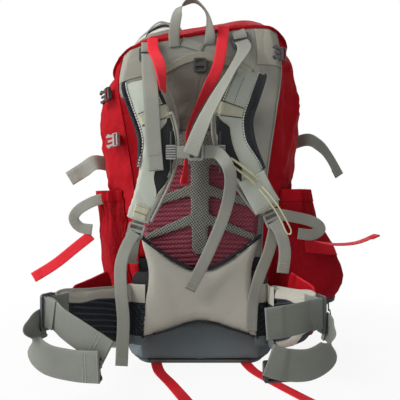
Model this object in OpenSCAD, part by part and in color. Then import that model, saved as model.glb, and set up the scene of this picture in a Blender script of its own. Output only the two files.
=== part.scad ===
// Trekking backpack standing on its base at z = 0, with its harness side towards -Y.
// The pieces are sewn panels, foam pads, webbing and moulded buckles.

/* [Bag] */
// Height of the bag's back edge at the middle
bag_h = 596; // [500:4:720]
// Width of the bag at its widest
bag_w = 400; // [330:5:480]
// Depth of the bag from back panel to front panel
bag_d = 250; // [208:2:300]
// Thickness of the bag's coated fabric and lining
wall = 3; // [2:0.5:4]
// Rise of the top edge for each millimetre towards +X
lean = 0.15; // [0:0.01:0.16]
// Rise of the top edge above the bag's height at the middle of its back
rim_rise = 9; // [6:1:12]
// Drop of the top edge from back to front
rim_drop = 40; // [20:5:60]
// Fall of the top edge at its rounded corners
corner_drop = 28; // [20:1:34]
// Height of the stuffed lid above the top edge
lid_h = 62; // [50:2:74]

/* [Pockets] */
// Reach of the left side pocket from the bag
pocket_left = 20; // [16:1:30]
// Reach of the filled right side pocket from the bag
pocket_right = 110; // [90:2:132]
// Reach of the front pocket from the bag
pocket_front = 30; // [20:1:40]
// Thickness of the pocket fabric
pocket_wall = 2; // [1.5:0.5:2.5]

/* [Back system] */
// Thickness of the ridged back pad
pad_t = 14; // [10:1:17]
// Thickness of the spine mesh over the pad
mesh_t = 4; // [3:0.5:5]
// Thickness of the lumbar pad
lumbar_t = 23; // [18:1:28]
// Thickness of the plastic frame sheet
sheet_t = 2.5; // [2:0.5:3]
// Diameter of the aluminium frame rod
rod_d = 5; // [4:0.5:6]

/* [Shoulder straps] */
// Width of a shoulder strap at its widest
strap_w = 70; // [58:1:84]
// Thickness of a shoulder strap
strap_t = 14; // [11:0.5:16]
// Diameter of the piping that the chest clips run on
rail_d = 3.6; // [3:0.2:4.4]

/* [Hip belt] */
// Length of a hip wing
wing_l = 200; // [166:1:240]
// Thickness of a hip wing at its root
wing_t = 26; // [21:1:31]
// Angle of the left wing out from straight ahead
splay_left = 26; // [20:1:32]
// Angle of the right wing out from straight ahead
splay_right = 12; // [10:1:24]

/* [Webbing and buckles] */
// Thickness of the webbing
web_t = 1.8; // [1.4:0.1:2.2]
// Width of the load lifter webbing
web_wide = 25; // [20:1:30]
// Width of the narrow webbing
web_slim = 20; // [16:1:24]
// Width of the hip belt webbing
web_hip = 44; // [38:1:52]
// Gap between a moving piece and its neighbour
run = 0.4; // [0.3:0.1:0.6]
// Gap between two sewn or seated pieces
seat = 0.3; // [0.3:0.1:0.4]

/* [Hidden] */

$fn = 32;
slate = "#4a5058";
grey = "#8f908c";
pale = "#b4b2a8";
dark = "#2c2d30";
red = "#c01525";
maroon = "#6a1822";
black = "#17181a";
metal = "#b8bcc0";
cream = "#cfc7a8";

// The bag's own shape, as shares of its height, half width and front reach
bag_back = 98;
bag_front = bag_d - bag_back;
bag_profile = [
    [0, 0.62, 0.66, 36], [0.025, 0.69, 0.82, 34], [0.1, 0.77, 0.95, 31], [0.25, 0.83, 1, 29],
    [0.5, 0.9, 1, 28], [0.75, 0.99, 0.96, 32], [0.9, 0.95, 0.86, 41], [1, 0.83, 0.74, 48]];
front_edge = 50;
back_flat = 14;
base_t = 3;

// Stretch of the harness layout when the bag grows
layout_w = 400;
layout_h = 596;
layout_front = 152;
kx = bag_w / layout_w;
kz = bag_h / layout_h;
ky = bag_front / layout_front;

// Depths of the layers on the harness side
y_seat = -bag_back - seat;
y_web = y_seat - web_t / 2;
sleeve_t = 3;
y_sleeve = y_seat - sleeve_t;
y_pad = y_seat - pad_t;
y_mesh = y_pad - seat - mesh_t;
y_lumbar = y_mesh - seat - lumbar_t;
y_strap_root = y_sleeve - seat - strap_t / 2;
strap_out = -202;
y_rail = strap_out - strap_t / 2 - seat - rail_d / 2;

// Hinge line of the hip wings
hinge_x = 128;
hinge_y = -105;

function unit(v) = v / norm(v);
function flat3(v) = [v[0], v[1], v[2]];
function side3(v) = [v[3], v[4], v[5]];
function last(v) = v[len(v) - 1];
function pow_s(a, e) = sign(a) * pow(abs(a), e);
function mix(a, b, t) = a + (b - a) * t;

// A smooth curve through the rows of a list, with n steps for each row
function curve_at(a, b, c, d, t) = 0.5 * (2 * b + (c - a) * t + (2 * a - 5 * b + 4 * c - d) * t * t
    + (3 * b - a - 3 * c + d) * t * t * t);
function smooth(rows, n) = [
    for (i = [0 : len(rows) - 2], k = [0 : n - 1])
        curve_at(rows[max(i - 1, 0)], rows[i], rows[i + 1], rows[min(i + 2, len(rows) - 1)], k / n),
    last(rows)];

// A layout row moved to where the bag of this size has it
function fit(p) = [p[0] * kx, p[1] < 0 ? p[1] : p[1] * ky, p[2] * kz];
function fit_row(r) = concat(fit(r), [for (i = [3 : len(r) - 1]) r[i]]);
function fit_rows(rows) = [for (r = rows) fit_row(r)];

// A solid skinned over rings of equal length, closed at both ends. Ring points from "turned" on are
// split along the other diagonal, so that the two faces of a sheet fold alike
module skin(rings, turned = 0) {
    m = len(rings[0]);
    n = len(rings);
    walls = [for (i = [0 : n - 2], j = [0 : m - 1])
        let (k = (j + 1) % m, a = i * m + j, b = a + m, c = (i + 1) * m + k, d = c - m,
            other = k == 0 || (turned > 0 && j >= turned))
        each other ? [[a, b, d], [b, c, d]] : [[a, b, c], [a, c, d]]];
    near = [for (j = [0 : ceil(m / 2) - 2]) let (c = m - 2 - j)
        each concat([[j, j + 1, c + 1]], j + 1 < c ? [[j + 1, c, c + 1]] : [])];
    far = [for (f = near) [for (i = [2 : -1 : 0]) f[i] + (n - 1) * m]];
    polyhedron([for (r = rings) each r], concat(walls, near, far));
}

// Direction of travel at row i of a path
function heading(path, i) =
    unit(flat3(path[min(i + 1, len(path) - 1)]) - flat3(path[max(i - 1, 0)]));
function across(path, i) = let (t = heading(path, i), a = side3(path[i])) unit(a - (a * t) * t);

// Flat webbing along rows of x, y, z and the direction of its width
module ribbon(rows, width, steps = 4) {
    path = smooth(rows, steps);
    skin([for (i = [0 : len(path) - 1])
        let (p = flat3(path[i]), a = across(path, i) * width / 2,
            n = cross(heading(path, i), across(path, i)) * web_t / 2)
        [p + a + n, p - a + n, p - a - n, p + a - n]]);
}

// A padded band along rows that also give its width and thickness
module band(rows, steps = 3, sides = 12) {
    path = smooth(rows, steps);
    skin([for (i = [0 : len(path) - 1])
        let (p = flat3(path[i]), a = across(path, i), n = cross(heading(path, i), a))
        [for (j = [0 : sides - 1]) let (q = 360 * j / sides)
            p + a * path[i][6] / 2 * pow_s(cos(q), 0.6) + n * path[i][7] / 2 * pow_s(sin(q), 0.6)]]);
}

// A round cord along points
module cord_tube(points, d, steps = 2, sides = 8) {
    path = smooth([for (p = points) concat(p, [0.3, 1, 0.2])], steps);
    skin([for (i = [0 : len(path) - 1])
        let (p = flat3(path[i]), a = across(path, i), n = cross(heading(path, i), a))
        [for (j = [0 : sides - 1]) p + (a * cos(360 * j / sides) + n * sin(360 * j / sides)) * d / 2]]);
}

// The bag's surface: share of height, angle round the bag and distance out from the fabric
function bag_row(share) = lookup_row(smooth(bag_profile, 4), share);
function lookup_row(rows, share) = let (t = [for (c = [1 : 3]) lookup(share,
    [for (r = rows) [r[0], r[c]]])]) [share, t[0], t[1], t[2]];
function bag_plan(row, angle, out) =
    let (w = row[1] * bag_w / 2 + out, f = row[2] * bag_front + out, b = bag_back + out,
        mid = (f - b) / 2, reach = (f + b) / 2 + (sin(angle) < 0 ? back_flat : 0))
    [w * pow_s(cos(angle), 0.55), max(mid + reach * pow_s(sin(angle), 0.55), -b)];
rim_half = 0.83 * bag_w / 2;
function rim_shift(x, y) = rim_rise + lean * x - rim_drop * (y + bag_back) / bag_d
    - corner_drop * pow(min(abs(x) / rim_half, 1), 5);
function bag_point(share, angle, out) =
    let (q = bag_plan(bag_row(share), angle, out), ramp = pow(max(share - 0.4, 0) / 0.6, 2))
    [q[0], q[1], base_t + share * (bag_h - base_t) + ramp * rim_shift(q[0], q[1])];
function bag_normal(share, angle) =
    let (d = bag_point(share, angle, 10) - bag_point(share, angle, 0)) unit([d[0], d[1], 0]);

// A sheet between two surfaces on the bag, over columns and levels of a grid
module bag_sheet(outer, inner) {
    n = len(outer);
    m = len(outer[0]);
    skin([for (i = [0 : n - 1]) concat(outer[i], [for (j = [m - 1 : -1 : 0]) inner[i][j]])], m);
}
bag_levels = [for (r = smooth(bag_profile, 2)) r[0]];
function panel_grid(from, to, columns, out) = [for (s = bag_levels)
    let (h = bag_row(s)[3], edges = [-90 - h, -90 + h, front_edge - 10, 190 - front_edge, 270 - h])
    [for (j = [0 : columns]) bag_point(s, mix(edges[from], edges[to], j / columns), out)]];
module bag_panel(from, to, columns) {
    bag_sheet(panel_grid(from, to, columns, 0), panel_grid(from, to, columns, -wall));
}

// A flat plate with round corners, centred, lying in XY
module plate(w, l, t, r) {
    linear_extrude(t) {
        square([w - 2 * r, l], center = true);
        square([w, l - 2 * r], center = true);
        for (x = [-1, 1], y = [-1, 1])
            translate([x * (w / 2 - r), y * (l / 2 - r)]) circle(r);
    }
}

// A plate standing on the harness side, from an outline in X and Z, between two depths
module back_plate(near, far, outline) {
    translate([0, far, 0]) rotate([90, 0, 0]) linear_extrude(far - near) polygon(outline);
}

// The outline between two smooth edges, each a list of x and z
function outline(lower, upper, n) = concat(smooth(lower, n),
    [for (i = [len(upper) * n - n : -1 : 0]) smooth(upper, n)[i]]);
function fit_xz(points) = [for (p = points) [p[0] * kx, p[1] * kz]];

// Moulded pieces, flat in XY with their webbing running along Y

lock_l = 24;
lock_t = 5;
lock_rim = 4;
module ladder_lock(w) {
    slot = (lock_l - 4 * lock_rim) / 2 + 2;
    difference() {
        union() {
            plate(w + 2 * lock_rim, lock_l, lock_t, 3);
            translate([0, -lock_l / 2 - 3, 0]) plate(w - 4, 10, lock_t / 2, 2);
        }
        for (y = [-5.5, 5.5]) translate([-w / 2 - 0.5, y - slot / 2, -1]) cube([w + 1, slot, lock_t + 2]);
        for (x = [-w / 4, 0, w / 4])
            translate([x - 1, -lock_l / 2 - 7, lock_t / 2 - 0.8]) cube([2, 6, 2]);
    }
}

fork_base = 14;
fork_slot = 6;
fork_bar = fork_base - 3 - fork_slot / 2;
fork_l = 20;
fork_t = 6;
// Half outline of a fork: a sprung prong that bows out to a barb, and the middle guide
function prong(w) = [[w / 2 - 4, 0], [w / 2, 0], [w / 2 + 1, 8], [w / 2 + 3, 12], [w / 2 + 3, 15],
    [w / 2 - 1, fork_l], [w / 2 - 4, fork_l - 1], [w / 2 - 3, 13], [w / 2 - 4, 6]];
module side_fork(w) {
    difference() {
        translate([0, -fork_base / 2, 0]) plate(w + 4, fork_base, fork_t, 2);
        translate([-w / 2 - 0.5, -fork_bar - fork_slot / 2, -1]) cube([w + 1, fork_slot, fork_t + 2]);
    }
    translate([0, 0, 1]) for (side = [0, 1]) mirror([side, 0, 0])
        translate([0, -0.5, 0]) linear_extrude(fork_t - 2) polygon(prong(w));
    translate([-2, -0.5, 1.5]) cube([4, fork_l - 4, fork_t - 3]);
}

socket_l = 28;
socket_t = 9;
socket_wall = 2.5;
// The housing that a fork of the same webbing slides into, with windows for its barbs
module side_socket(w) {
    inside = w + 6 + 2 * run;
    difference() {
        translate([0, socket_l / 2 - 6, 0]) plate(inside + 2 * socket_wall, socket_l, socket_t, 3);
        translate([-inside / 2, -7, socket_t / 2 - fork_t / 2 + 0.5])
            cube([inside, fork_l + 7 + run, fork_t - 1]);
        for (x = [-1, 1]) translate([x * (inside / 2 + socket_wall) - 4, 8, 2]) cube([8, 10, socket_t - 4]);
        translate([-w / 2 - 0.5, socket_l - 12, -1]) cube([w + 1, 3.5, socket_t + 2]);
    }
}

glide_l = 26;
glide_t = 4;
module glide(w) {
    difference() {
        plate(w + 10, glide_l, glide_t, 5);
        for (y = [-1, 1]) translate([-w / 2 - 0.5, y * 6 - 3.5, -1]) cube([w + 1, 7, glide_t + 2]);
    }
}

// Bag panels

module base_panel() {
    color(slate) linear_extrude(base_t) polygon([for (i = [0 : 47]) bag_plan(bag_row(0), i * 7.5, 0)]);
}
module rear_panel() { color(grey) bag_panel(0, 1, 8); }
module side_panel_right() { color(red) bag_panel(1, 2, 9); }
module front_panel() { color(red) bag_panel(2, 3, 8); }
module side_panel_left() { color(red) bag_panel(3, 4, 9); }

// Frame inside the bag, behind the rear panel

sheet_w = 200;
sheet_low = 44;
sheet_top = 520;
sheet_hole = 48;
module frame_sheet() {
    far = -bag_back + wall + seat + sheet_t;
    mid = (sheet_low + sheet_top) / 2;
    color(black) translate([0, far, mid * kz]) rotate([90, 0, 0]) difference() {
        plate(sheet_w * kx, (sheet_top - sheet_low) * kz, sheet_t, 24);
        for (z = [-3 : 3], x = [-1, 1])
            translate([x * sheet_hole * kx, z * 62 * kz, -1]) plate(30, 24, sheet_t + 2, 8);
    }
}
rod_w = 176;
rod_bend = 40;
module frame_rod() {
    y = -bag_back + wall + 2 * seat + sheet_t + rod_d / 2;
    half = rod_w * kx / 2;
    low = (sheet_low + 16) * kz;
    top = (sheet_top - 24) * kz;
    color(metal) translate([0, y, 0]) {
        for (x = [-1, 1]) translate([x * half, 0, low]) cylinder(h = top - rod_bend - low, d = rod_d);
        for (m = [0, 1]) mirror([m, 0, 0]) translate([half - rod_bend, 0, top - rod_bend])
            rotate([90, 0, 0]) rotate_extrude(angle = 90) translate([rod_bend, 0]) circle(d = rod_d);
        translate([rod_bend - half, 0, top]) rotate([0, 90, 0])
            cylinder(h = 2 * (half - rod_bend), d = rod_d);
    }
}

// Hydration sleeve: a slack panel with a peaked opening and a hanging clip

module hydration_sleeve() {
    low = [[-92, 432], [-40, 428], [40, 428], [92, 432]];
    high = [[-96, 528], [-72, 541], [-8, 572], [64, 558], [96, 540]];
    color(slate) back_plate(y_sleeve, y_seat, fit_xz(outline(low, high, 3)));
}
module hydration_clip() {
    color(dark) translate([0, y_sleeve - seat, 547 * kz]) rotate([90, 0, 0]) glide(web_slim - 6);
}

// Ridged pad and the mesh spine over it

back_side = [[-70, 176], [-104, 240], [-98, 315], [-56, 372], [-44, 418]];
function back_half(inset) = [for (p = smooth(back_side, 3)) [p[0] + inset, p[1]]];
function mirror_x(points) = [for (i = [len(points) - 1 : -1 : 0]) [-points[i][0], points[i][1]]];
module back_pad() {
    grooves = 11;
    color(maroon) difference() {
        back_plate(y_pad, y_seat, fit_xz(concat(back_half(0), mirror_x(back_half(0)))));
        for (i = [1 : grooves]) translate([-130 * kx, y_pad - 1, (186 + i * 18) * kz]) cube([260 * kx, 6, 5]);
    }
}
// The mesh is a spine with slanted ribs: two windows on each side, and one below that joins both sides
mesh_windows = [[[17, 328], [120, 291], [120, 353], [17, 363]], [[17, 275], [120, 229], [120, 278], [17, 307]],
    [[-1, 150], [120, 150], [120, 219], [16, 254], [14, 208], [8, 202], [-1, 200]]];
module spine_mesh() {
    color(grey) difference() {
        back_plate(y_mesh, y_pad - seat, fit_xz(concat(back_half(2), mirror_x(back_half(2)))));
        for (m = [0, 1]) mirror([m, 0, 0]) translate([0, y_pad + 1, 0]) rotate([90, 0, 0])
            linear_extrude(mesh_t + 4) for (window = mesh_windows) polygon(fit_xz(window));
    }
}

// Lumbar pad, the belt's core behind it and the slate panel below

module belt_core() {
    color(dark) translate([-seat / 2, y_seat, 128 * kz]) rotate([90, 0, 0])
        plate(2 * hinge_x * kx - wing_bead - 2 * run, 84 * kz, y_seat - y_mesh, 12);
}
module lumbar_pad() {
    low = [[-106, 54], [-60, 66], [0, 82], [60, 68], [106, 54]];
    high = [[-106, 54], [-104, 110], [-96, 172], [-110, 240], [-62, 206], [0, 180], [62, 206],
        [110, 240], [96, 172], [104, 110], [106, 54]];
    edge = concat(smooth(low, 3), [for (i = [29 : -1 : 1]) smooth(high, 3)[i]]);
    color(pale) back_plate(y_lumbar, y_mesh - seat, fit_xz(edge));
}
module slate_panel() {
    low = [[-108, 10], [0, 8], [108, 10]];
    high = [[-112, 50], [-60, 74], [0, 80], [60, 74], [112, 50]];
    color(slate) back_plate(y_seat - 10, y_seat, fit_xz(outline(low, high, 3)));
}

// Pockets: sheets that stand off the bag between their sewn edges, open at the top

pocket_low = 0.07;
pocket_high = 0.535;
fill_left = [[0, 0.1], [0.25, 0.8], [0.5, 1], [0.8, 0.9], [1, 0.8]];
fill_right = [[0, 0.1], [0.15, 0.65], [0.36, 1], [0.6, 0.76], [0.8, 0.42], [1, 0.24]];
function pocket_grid(from, to, reach, fill, out) = [for (i = [0 : 8])
    let (v = i / 8, full = reach * lookup(v, smooth(fill, 4)))
    [for (j = [0 : 10]) let (u = j / 10, away = full * pow(sin(180 * u), 0.7))
        bag_point(mix(pocket_low, pocket_high, v), mix(from, to, u), seat + away + out)]];
module side_pocket(from, to, reach, fill) {
    color(red) bag_sheet(pocket_grid(from, to, reach, fill, pocket_wall),
        pocket_grid(from, to, reach, fill, 0));
}
module side_pocket_right() { side_pocket(-40, 40, pocket_right, fill_right); }
module side_pocket_left() { side_pocket(146, 224, pocket_left, fill_left); }
front_low = 0.3;
front_high = 0.74;
function front_out(u, v) = pocket_front * pow(sin(180 * u) * sin(180 * v), 0.35);
function front_grid(solid) = [for (i = [0 : 8]) let (v = i / 8) [for (j = [0 : 10])
    let (u = j / 10) bag_point(mix(front_low, front_high, v), mix(62, 118, u),
        seat + solid * (front_out(u, v) + pocket_wall))]];
module front_pocket() { color(red) bag_sheet(front_grid(1), front_grid(0)); }
module front_zip() {
    share = 0.22;
    rows = [for (i = [0 : 12]) let (a = mix(46, 134, i / 12), p = bag_point(share, a, seat + web_t / 2))
        concat(p, [0, 0, 1])];
    color(black) ribbon(rows, 14, 1);
}

// Lid fastening at the front: two sockets on the bag, two forks on the lid

lid_fork_x = 70;
function front_angle(x, w) = x < 0 ? 180 - front_angle(-x, w) : acos(pow(x / w, 1 / 0.55));
module at_front(share, x, out) {
    p = bag_point(share, front_angle(x, bag_row(share)[1] * bag_w / 2 + out), out);
    translate(p) rotate([90, 0, 180]) children();
}
module lid_sockets() {
    color(black) for (x = [-1, 1])
        at_front(0.8, x * lid_fork_x * kx, seat + 2.6) mirror([0, 1, 0]) side_socket(web_slim);
}

// Shoulder straps

strap_left = [
    [-64, 0, 440, 1, 0, 0, 58, 1], [-70, -16, 472, 1, 0, 0.05, 58, 1],
    [-88, -46, 499, 0.97, 0.05, 0.2, 62, 1], [-100, -74, 494, 0.95, 0.1, 0.2, 64, 1],
    [-88, -91, 462, 0.97, 0, 0.25, 68, 1],
    [-72, -93, 420, 0.99, 0, 0.12, 70, 1], [-67, -93, 384, 1, 0, 0, 70, 1],
    [-74, -90, 346, 0.98, 0, -0.2, 64, 0.95],
    [-86, -84, 311, 0.96, 0, -0.3, 56, 0.9], [-98, -78, 280, 0.95, 0, -0.3, 48, 0.8],
    [-104, -74, 262, 0.95, 0, -0.25, 44, 0.7]];
strap_right = [
    [62, 0, 452, 1, 0, 0, 58, 1], [68, -16, 486, 1, 0, -0.05, 58, 1],
    [78, -46, 515, 0.97, -0.05, -0.2, 62, 1], [80, -76, 508, 0.95, -0.1, -0.2, 64, 1],
    [66, -91, 474, 0.97, 0, -0.25, 68, 1],
    [53, -93, 434, 0.99, 0, -0.1, 70, 1], [57, -93, 392, 1, 0, 0.12, 70, 1],
    [74, -90, 353, 0.95, 0, 0.4, 64, 0.95],
    [94, -84, 318, 0.9, 0, 0.5, 56, 0.9], [110, -78, 292, 0.9, 0, 0.45, 48, 0.8],
    [116, -75, 280, 0.92, 0, 0.4, 44, 0.7]];
strap_root_at = -108.5;
function strap_rows(rows) = [for (r = rows) let (p = fit([r[0], 0, r[2]]))
    [p[0], y_strap_root + r[1] * (strap_out - strap_root_at) / -93, p[2], r[3], r[4], r[5],
        r[6] * strap_w / 70, r[7] * strap_t]];
module shoulder_strap_left() { color(pale) band(strap_rows(strap_left)); }
module shoulder_strap_right() { color(pale) band(strap_rows(strap_right)); }

// The end of a strap, from which its lock hangs
function strap_end(rows) = flat3(last(strap_rows(rows)));
module strap_lock(rows, tilt) {
    translate(strap_end(rows)) rotate([0, tilt, 0]) translate([0, lock_t / 2, -lock_l / 2 - seat - 1])
        rotate([90, 0, 0]) ladder_lock(web_slim);
}
tilt_left = 16;
tilt_right = -24;
module ladder_locks() {
    color(dark) {
        strap_lock(strap_left, tilt_left);
        strap_lock(strap_right, tilt_right);
    }
}

// Webbing from the locks: the lower webbing goes to the bag, the tail hangs free

web_off = lock_t / 2 + 2 * seat + web_t / 2;
module lower_webs() {
    y = y_lumbar - seat - web_t / 2 - 0.2;
    color(grey) {
        ribbon([concat(strap_end(strap_left) + [-6, web_off, -22], [0.96, 0, -0.25]),
            fit_row([-118, -150, 208, 0.98, 0, -0.1]), fit_row([-124, -118, 194, 1, 0, 0]),
            [-121 * kx, y_web, 184 * kz, 1, 0, 0]], web_slim);
        ribbon([concat(strap_end(strap_right) + [10, web_off, -22], [0.92, 0, 0.35]),
            fit_row([118, -168, 214, 1, 0, 0]), fit_row([102, y_lumbar - 16, 166, 1, 0, -0.1]),
            [93 * kx, y - 2, 122 * kz, 1, 0, 0], [91 * kx, y, 94 * kz, 1, 0, 0],
            [90 * kx, y, 70 * kz, 1, 0, 0]], web_slim);
    }
}
module lower_tail_left() {
    color(grey) ribbon([concat(strap_end(strap_left) + [-4, -web_off, -16], [0.96, 0, -0.25]),
        fit_row([-120, -194, 226, 0.97, 0, -0.2]), fit_row([-128, -212, 196, 1, 0, 0]),
        fit_row([-126, -225, 156, 1, 0, 0]), fit_row([-121, -233, 111, 1, 0, 0]),
        fit_row([-122, -236, 72, 1, 0, 0]), fit_row([-124, -232, 38, 1, 0, 0])], web_slim);
}
module lower_tail_right() {
    color(grey) ribbon([concat(strap_end(strap_right) + [6, -web_off, -16], [0.92, 0, 0.35]),
        fit_row([134, -192, 244, 0.95, 0, 0.2]), fit_row([141, -190, 214, 1, 0, 0]),
        fit_row([138, -186, 178, 1, 0, 0])], web_slim);
}

// Load lifters: a lock on the bag's top edge, webbing to the strap and a tail that hangs free

lifter_left = [-95, 0, 566];
lifter_right = [75, 0, 592];
module lifter_lock(p, tilt) {
    translate([p[0] * kx, y_seat, p[2] * kz]) rotate([90, tilt, 0]) ladder_lock(web_wide);
}
module lifter_locks() {
    color(dark) {
        lifter_lock(lifter_left, 0);
        lifter_lock(lifter_right, -18);
    }
}
y_lifter = y_seat - lock_t - 3.5 * seat - web_t / 2;
module load_lifter_left() {
    color(grey) {
        ribbon([concat([lifter_left[0] * kx, y_lifter, (lifter_left[2] - 2) * kz], [1, 0, 0]),
            fit_row([-92, -124, 560, 1, 0, 0]), fit_row([-87, -170, 530, 1, 0, 0]),
            fit_row([-80, -214, 478, 1, 0, 0]), fit_row([-77, -215, 430, 1, 0, 0]),
            fit_row([-75, -215, 392, 1, 0, 0]), fit_row([-71, -214, 347, 1, 0, 0])], web_wide);
    }
}
module load_lifter_right() {
    color(grey) {
        ribbon([concat([lifter_right[0] * kx, y_lifter + 1.4 * seat, (lifter_right[2] - 2) * kz], [1, 0, 0.3]),
            fit_row([78, -128, 576, 1, 0, 0.2]), fit_row([72, -178, 548, 0.9, 0, 0.4]),
            fit_row([46, -220, 500, 0.75, -0.3, 0.5]), fit_row([14, -230, 442, 0.75, -0.3, 0.4]),
            fit_row([-4, -232, 402, 0.85, -0.2, 0.3]), fit_row([-15, -232, 372, 0.95, -0.1, 0.3])], web_wide);
    }
}

// Chest strap: clips that slide on piping, a closed buckle and a free tail

chest_z = 377;
rail_left = -47;
rail_right = 33;
rail_reach = 34;
clip_w = 16;
clip_h = 23;
clip_t = 8;
module sternum_rails() {
    color(dark) for (x = [rail_left, rail_right])
        translate([x * kx, y_rail, chest_z * kz - rail_reach]) cylinder(h = 2 * rail_reach, d = rail_d);
}
module chest_clip(x) {
    translate([x * kx, y_rail, chest_z * kz]) difference() {
        translate([0, rail_d / 2 - 0.5, 0]) rotate([90, 0, 0]) difference() {
            plate(clip_w, clip_h, clip_t, 2);
            for (i = [-2 : 2])
                translate([-clip_w / 2 - 1, i * 4 - 0.8, clip_t - 0.8]) cube([clip_w + 2, 1.6, 2]);
        }
        cylinder(h = clip_h + 2, d = rail_d + 2 * run, center = true);
    }
}
chest_y = y_rail - clip_t + 2;
chest_mid = (rail_left + rail_right) / 2 * kx;
module sternum_clips() {
    color(dark) {
        chest_clip(rail_left);
        chest_clip(rail_right);
        translate([chest_mid, chest_y, chest_z * kz]) rotate([90, 0, 0]) rotate([0, 0, 90])
            glide(web_slim - 2);
    }
}
module sternum_webbing() {
    left = rail_left * kx + clip_w / 2 + seat;
    right = rail_right * kx - clip_w / 2 - seat;
    y = chest_y + seat + web_t / 2;
    z = chest_z * kz;
    color(grey) {
        ribbon([[left, y, z, 0, 0, 1], [chest_mid, y, z, 0, 0, 1], [right, y, z, 0, 0, 1]], web_slim);
        ribbon([[chest_mid + glide_l / 2 + 3 * seat, chest_y - 2, z, 0, 0, 1],
            [right + 2, chest_y - 4, z - 1, 0.2, 0, 1],
            fit_row([44, -230, 354, 0.9, 0, 0.5]), fit_row([49, -219, 325, 1, 0, 0.1]),
            fit_row([40, -192, 275, 1, 0, -0.2]), fit_row([12, -170, 205, 0.95, 0, -0.3]),
            fit_row([-18, -160, 145, 0.9, 0, -0.3])], web_slim);
    }
}

// Pole stow on the right strap: a sleeve, two elastic loops and a tie cord

module stow_sleeve() {
    color(grey) ribbon([fit_row([84, -205.4, 338, 0.8, 0, 0.6]), fit_row([97, -203, 312, 0.8, 0, 0.6]),
        fit_row([112, -197.4, 288, 0.8, 0, 0.6])], 46);
}
stow_d = 4;
stow_route = [[50, -209.6, 368], [60, -212, 361], [72, -212.6, 352], [84, -211.6, 343], [95, -208, 333]];
module stow_loops() {
    color(cream) for (d = [0, 7])
        cord_tube([for (p = stow_route) fit(p - [d * 0.8, 0, d])], stow_d);
}
tie_route = [[96, -206.2, 318], [104, -212, 308], [113, -213, 296], [121, -213, 284], [128, -213, 272],
    [134, -213, 260], [138, -213, 251], [142, -212, 245], [147, -212, 246], [147, -213, 252],
    [142, -215, 262], [135, -217, 275], [127, -218, 288], [118, -217, 301], [109, -215, 312],
    [101, -211, 322]];
tie_d = 2.4;
module tie_cord() { color(cream) cord_tube([for (p = tie_route) p], tie_d, 2); }

// Side straps hang unfastened

module upper_side_straps() {
    color(grey) {
        ribbon([concat(bag_point(0.65, 168, web_t / 2 - 0.3), [0, 0.2, 1]),
            fit_row([-222, 52, 380, -0.3, 0.1, 0.9]), fit_row([-250, 64, 365, -0.5, 0, 0.85]),
            fit_row([-282, 70, 346, -0.55, 0, 0.8])], 32);
        ribbon([concat(bag_point(0.71, 16, web_t / 2 - 0.3), [0, 0.1, 1]),
            fit_row([226, 50, 428, 0.05, 0.1, 1]), fit_row([252, 54, 418, 0.3, 0.3, 0.9]),
            fit_row([274, 54, 394, 0.7, 0.6, 0.4]), fit_row([298, 55, 352, 0.8, 0.6, 0.3])], 27);
    }
}
module lower_side_strap_left() {
    color(grey) ribbon([fit_row([-181, -76, 303, 0, 0, 1]), fit_row([-204, -76, 296, -0.1, 0, 1]),
        fit_row([-230, -70, 281, -0.6, 0, 0.8]), fit_row([-240, -66, 264, -1, 0, 0.2]),
        fit_row([-228, -64, 248, -0.5, 0, -1]), fit_row([-205, -66, 244, 0, 0, -1])], web_slim);
}
module lower_side_strap_right() {
    color(grey) ribbon([[110 * kx, y_web - seat, 280 * kz, 0.2, 0, 1], fit_row([156, -110, 272, 0.2, 0, 1]),
        fit_row([200, -118, 262, 0.3, 0, 1]), fit_row([216, -119, 249, 1, 0, 0.2]),
        fit_row([202, -121, 238, 0.2, 0, -1]), fit_row([176, -120, 240, -0.1, 0, -1])], web_slim);
}
module red_tails() {
    color(red) {
        ribbon([fit_row([-207, -63.1, 233, 0.3, 0, 1]), fit_row([-236, -63, 210, 0.5, 0, 0.9]),
            fit_row([-276, -62, 178, 0.5, 0, 0.8]), fit_row([-318, -60, 152, 0.45, 0, 0.9])], web_slim);
        ribbon([fit_row([204, -121, 226.4, 0, 1, 0]), fit_row([240, -116, 220, 0, 1, 0.1]),
            fit_row([286, -104, 222, 0, 1, 0.1]), fit_row([326, -94, 236, 0, 1, 0.1])], web_slim);
    }
}

// Red straps: tails of the lid straps down the harness side, and mat straps on the floor

module lid_tail_left() {
    top = bag_h + rim_shift(-86 * kx, -bag_back) - 4;
    color(red) ribbon([[-86 * kx, y_web, top, 1, 0, 0.05], fit_row([-85, -110, 575, 1, 0, 0.1]),
        fit_row([-80, -132, 560, 1, 0, 0.15]), fit_row([-71, -167, 538, 0.9, 0.3, 0.2]),
        fit_row([-64, -201, 508, 0.6, 0.7, 0.2]), fit_row([-60, -219, 476, 0.35, 0.9, 0.1])], web_slim);
}
module lid_tail_right() {
    top = bag_h + rim_shift(43 * kx, -bag_back) - 5;
    color(red) ribbon([[43 * kx, y_web - seat, top, 1, 0, 0.1], fit_row([33, -116, 544, 0.95, 0.1, 0.2]),
        fit_row([12, -126, 496, 0.9, 0.3, 0.3]), fit_row([-10, -130, 452, 0.7, 0.6, 0.3]),
        fit_row([-22, -136, 416, 0.5, 0.8, 0.2]), fit_row([-24, -138, 372, 0.5, 0.8, 0]),
        fit_row([-28, -138, 328, 0.8, 0.5, 0])], web_slim);
}
y_floor = web_t / 2 + 0.2;
y_base = -bag_back - seat - 2.2;
module mat_straps() {
    color(red) {
        ribbon([[-80 * kx, y_base, y_floor, 1, 0, 0], [-70, -150, y_floor, 1, -0.2, 0],
            [-46, -210, y_floor, 0.9, -0.4, 0], [-16, -292, y_floor, 0.9, -0.3, 0]], web_slim);
        ribbon([[84 * kx, y_base, y_floor, 1, 0, 0], [96, -150, y_floor, 1, 0.3, 0],
            [126, -212, y_floor, 0.9, 0.4, 0], [168, -290, y_floor, 0.9, 0.4, 0]], web_slim);
    }
}

// Lid: a stuffed wedge hinged on the bag's back edge

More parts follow.
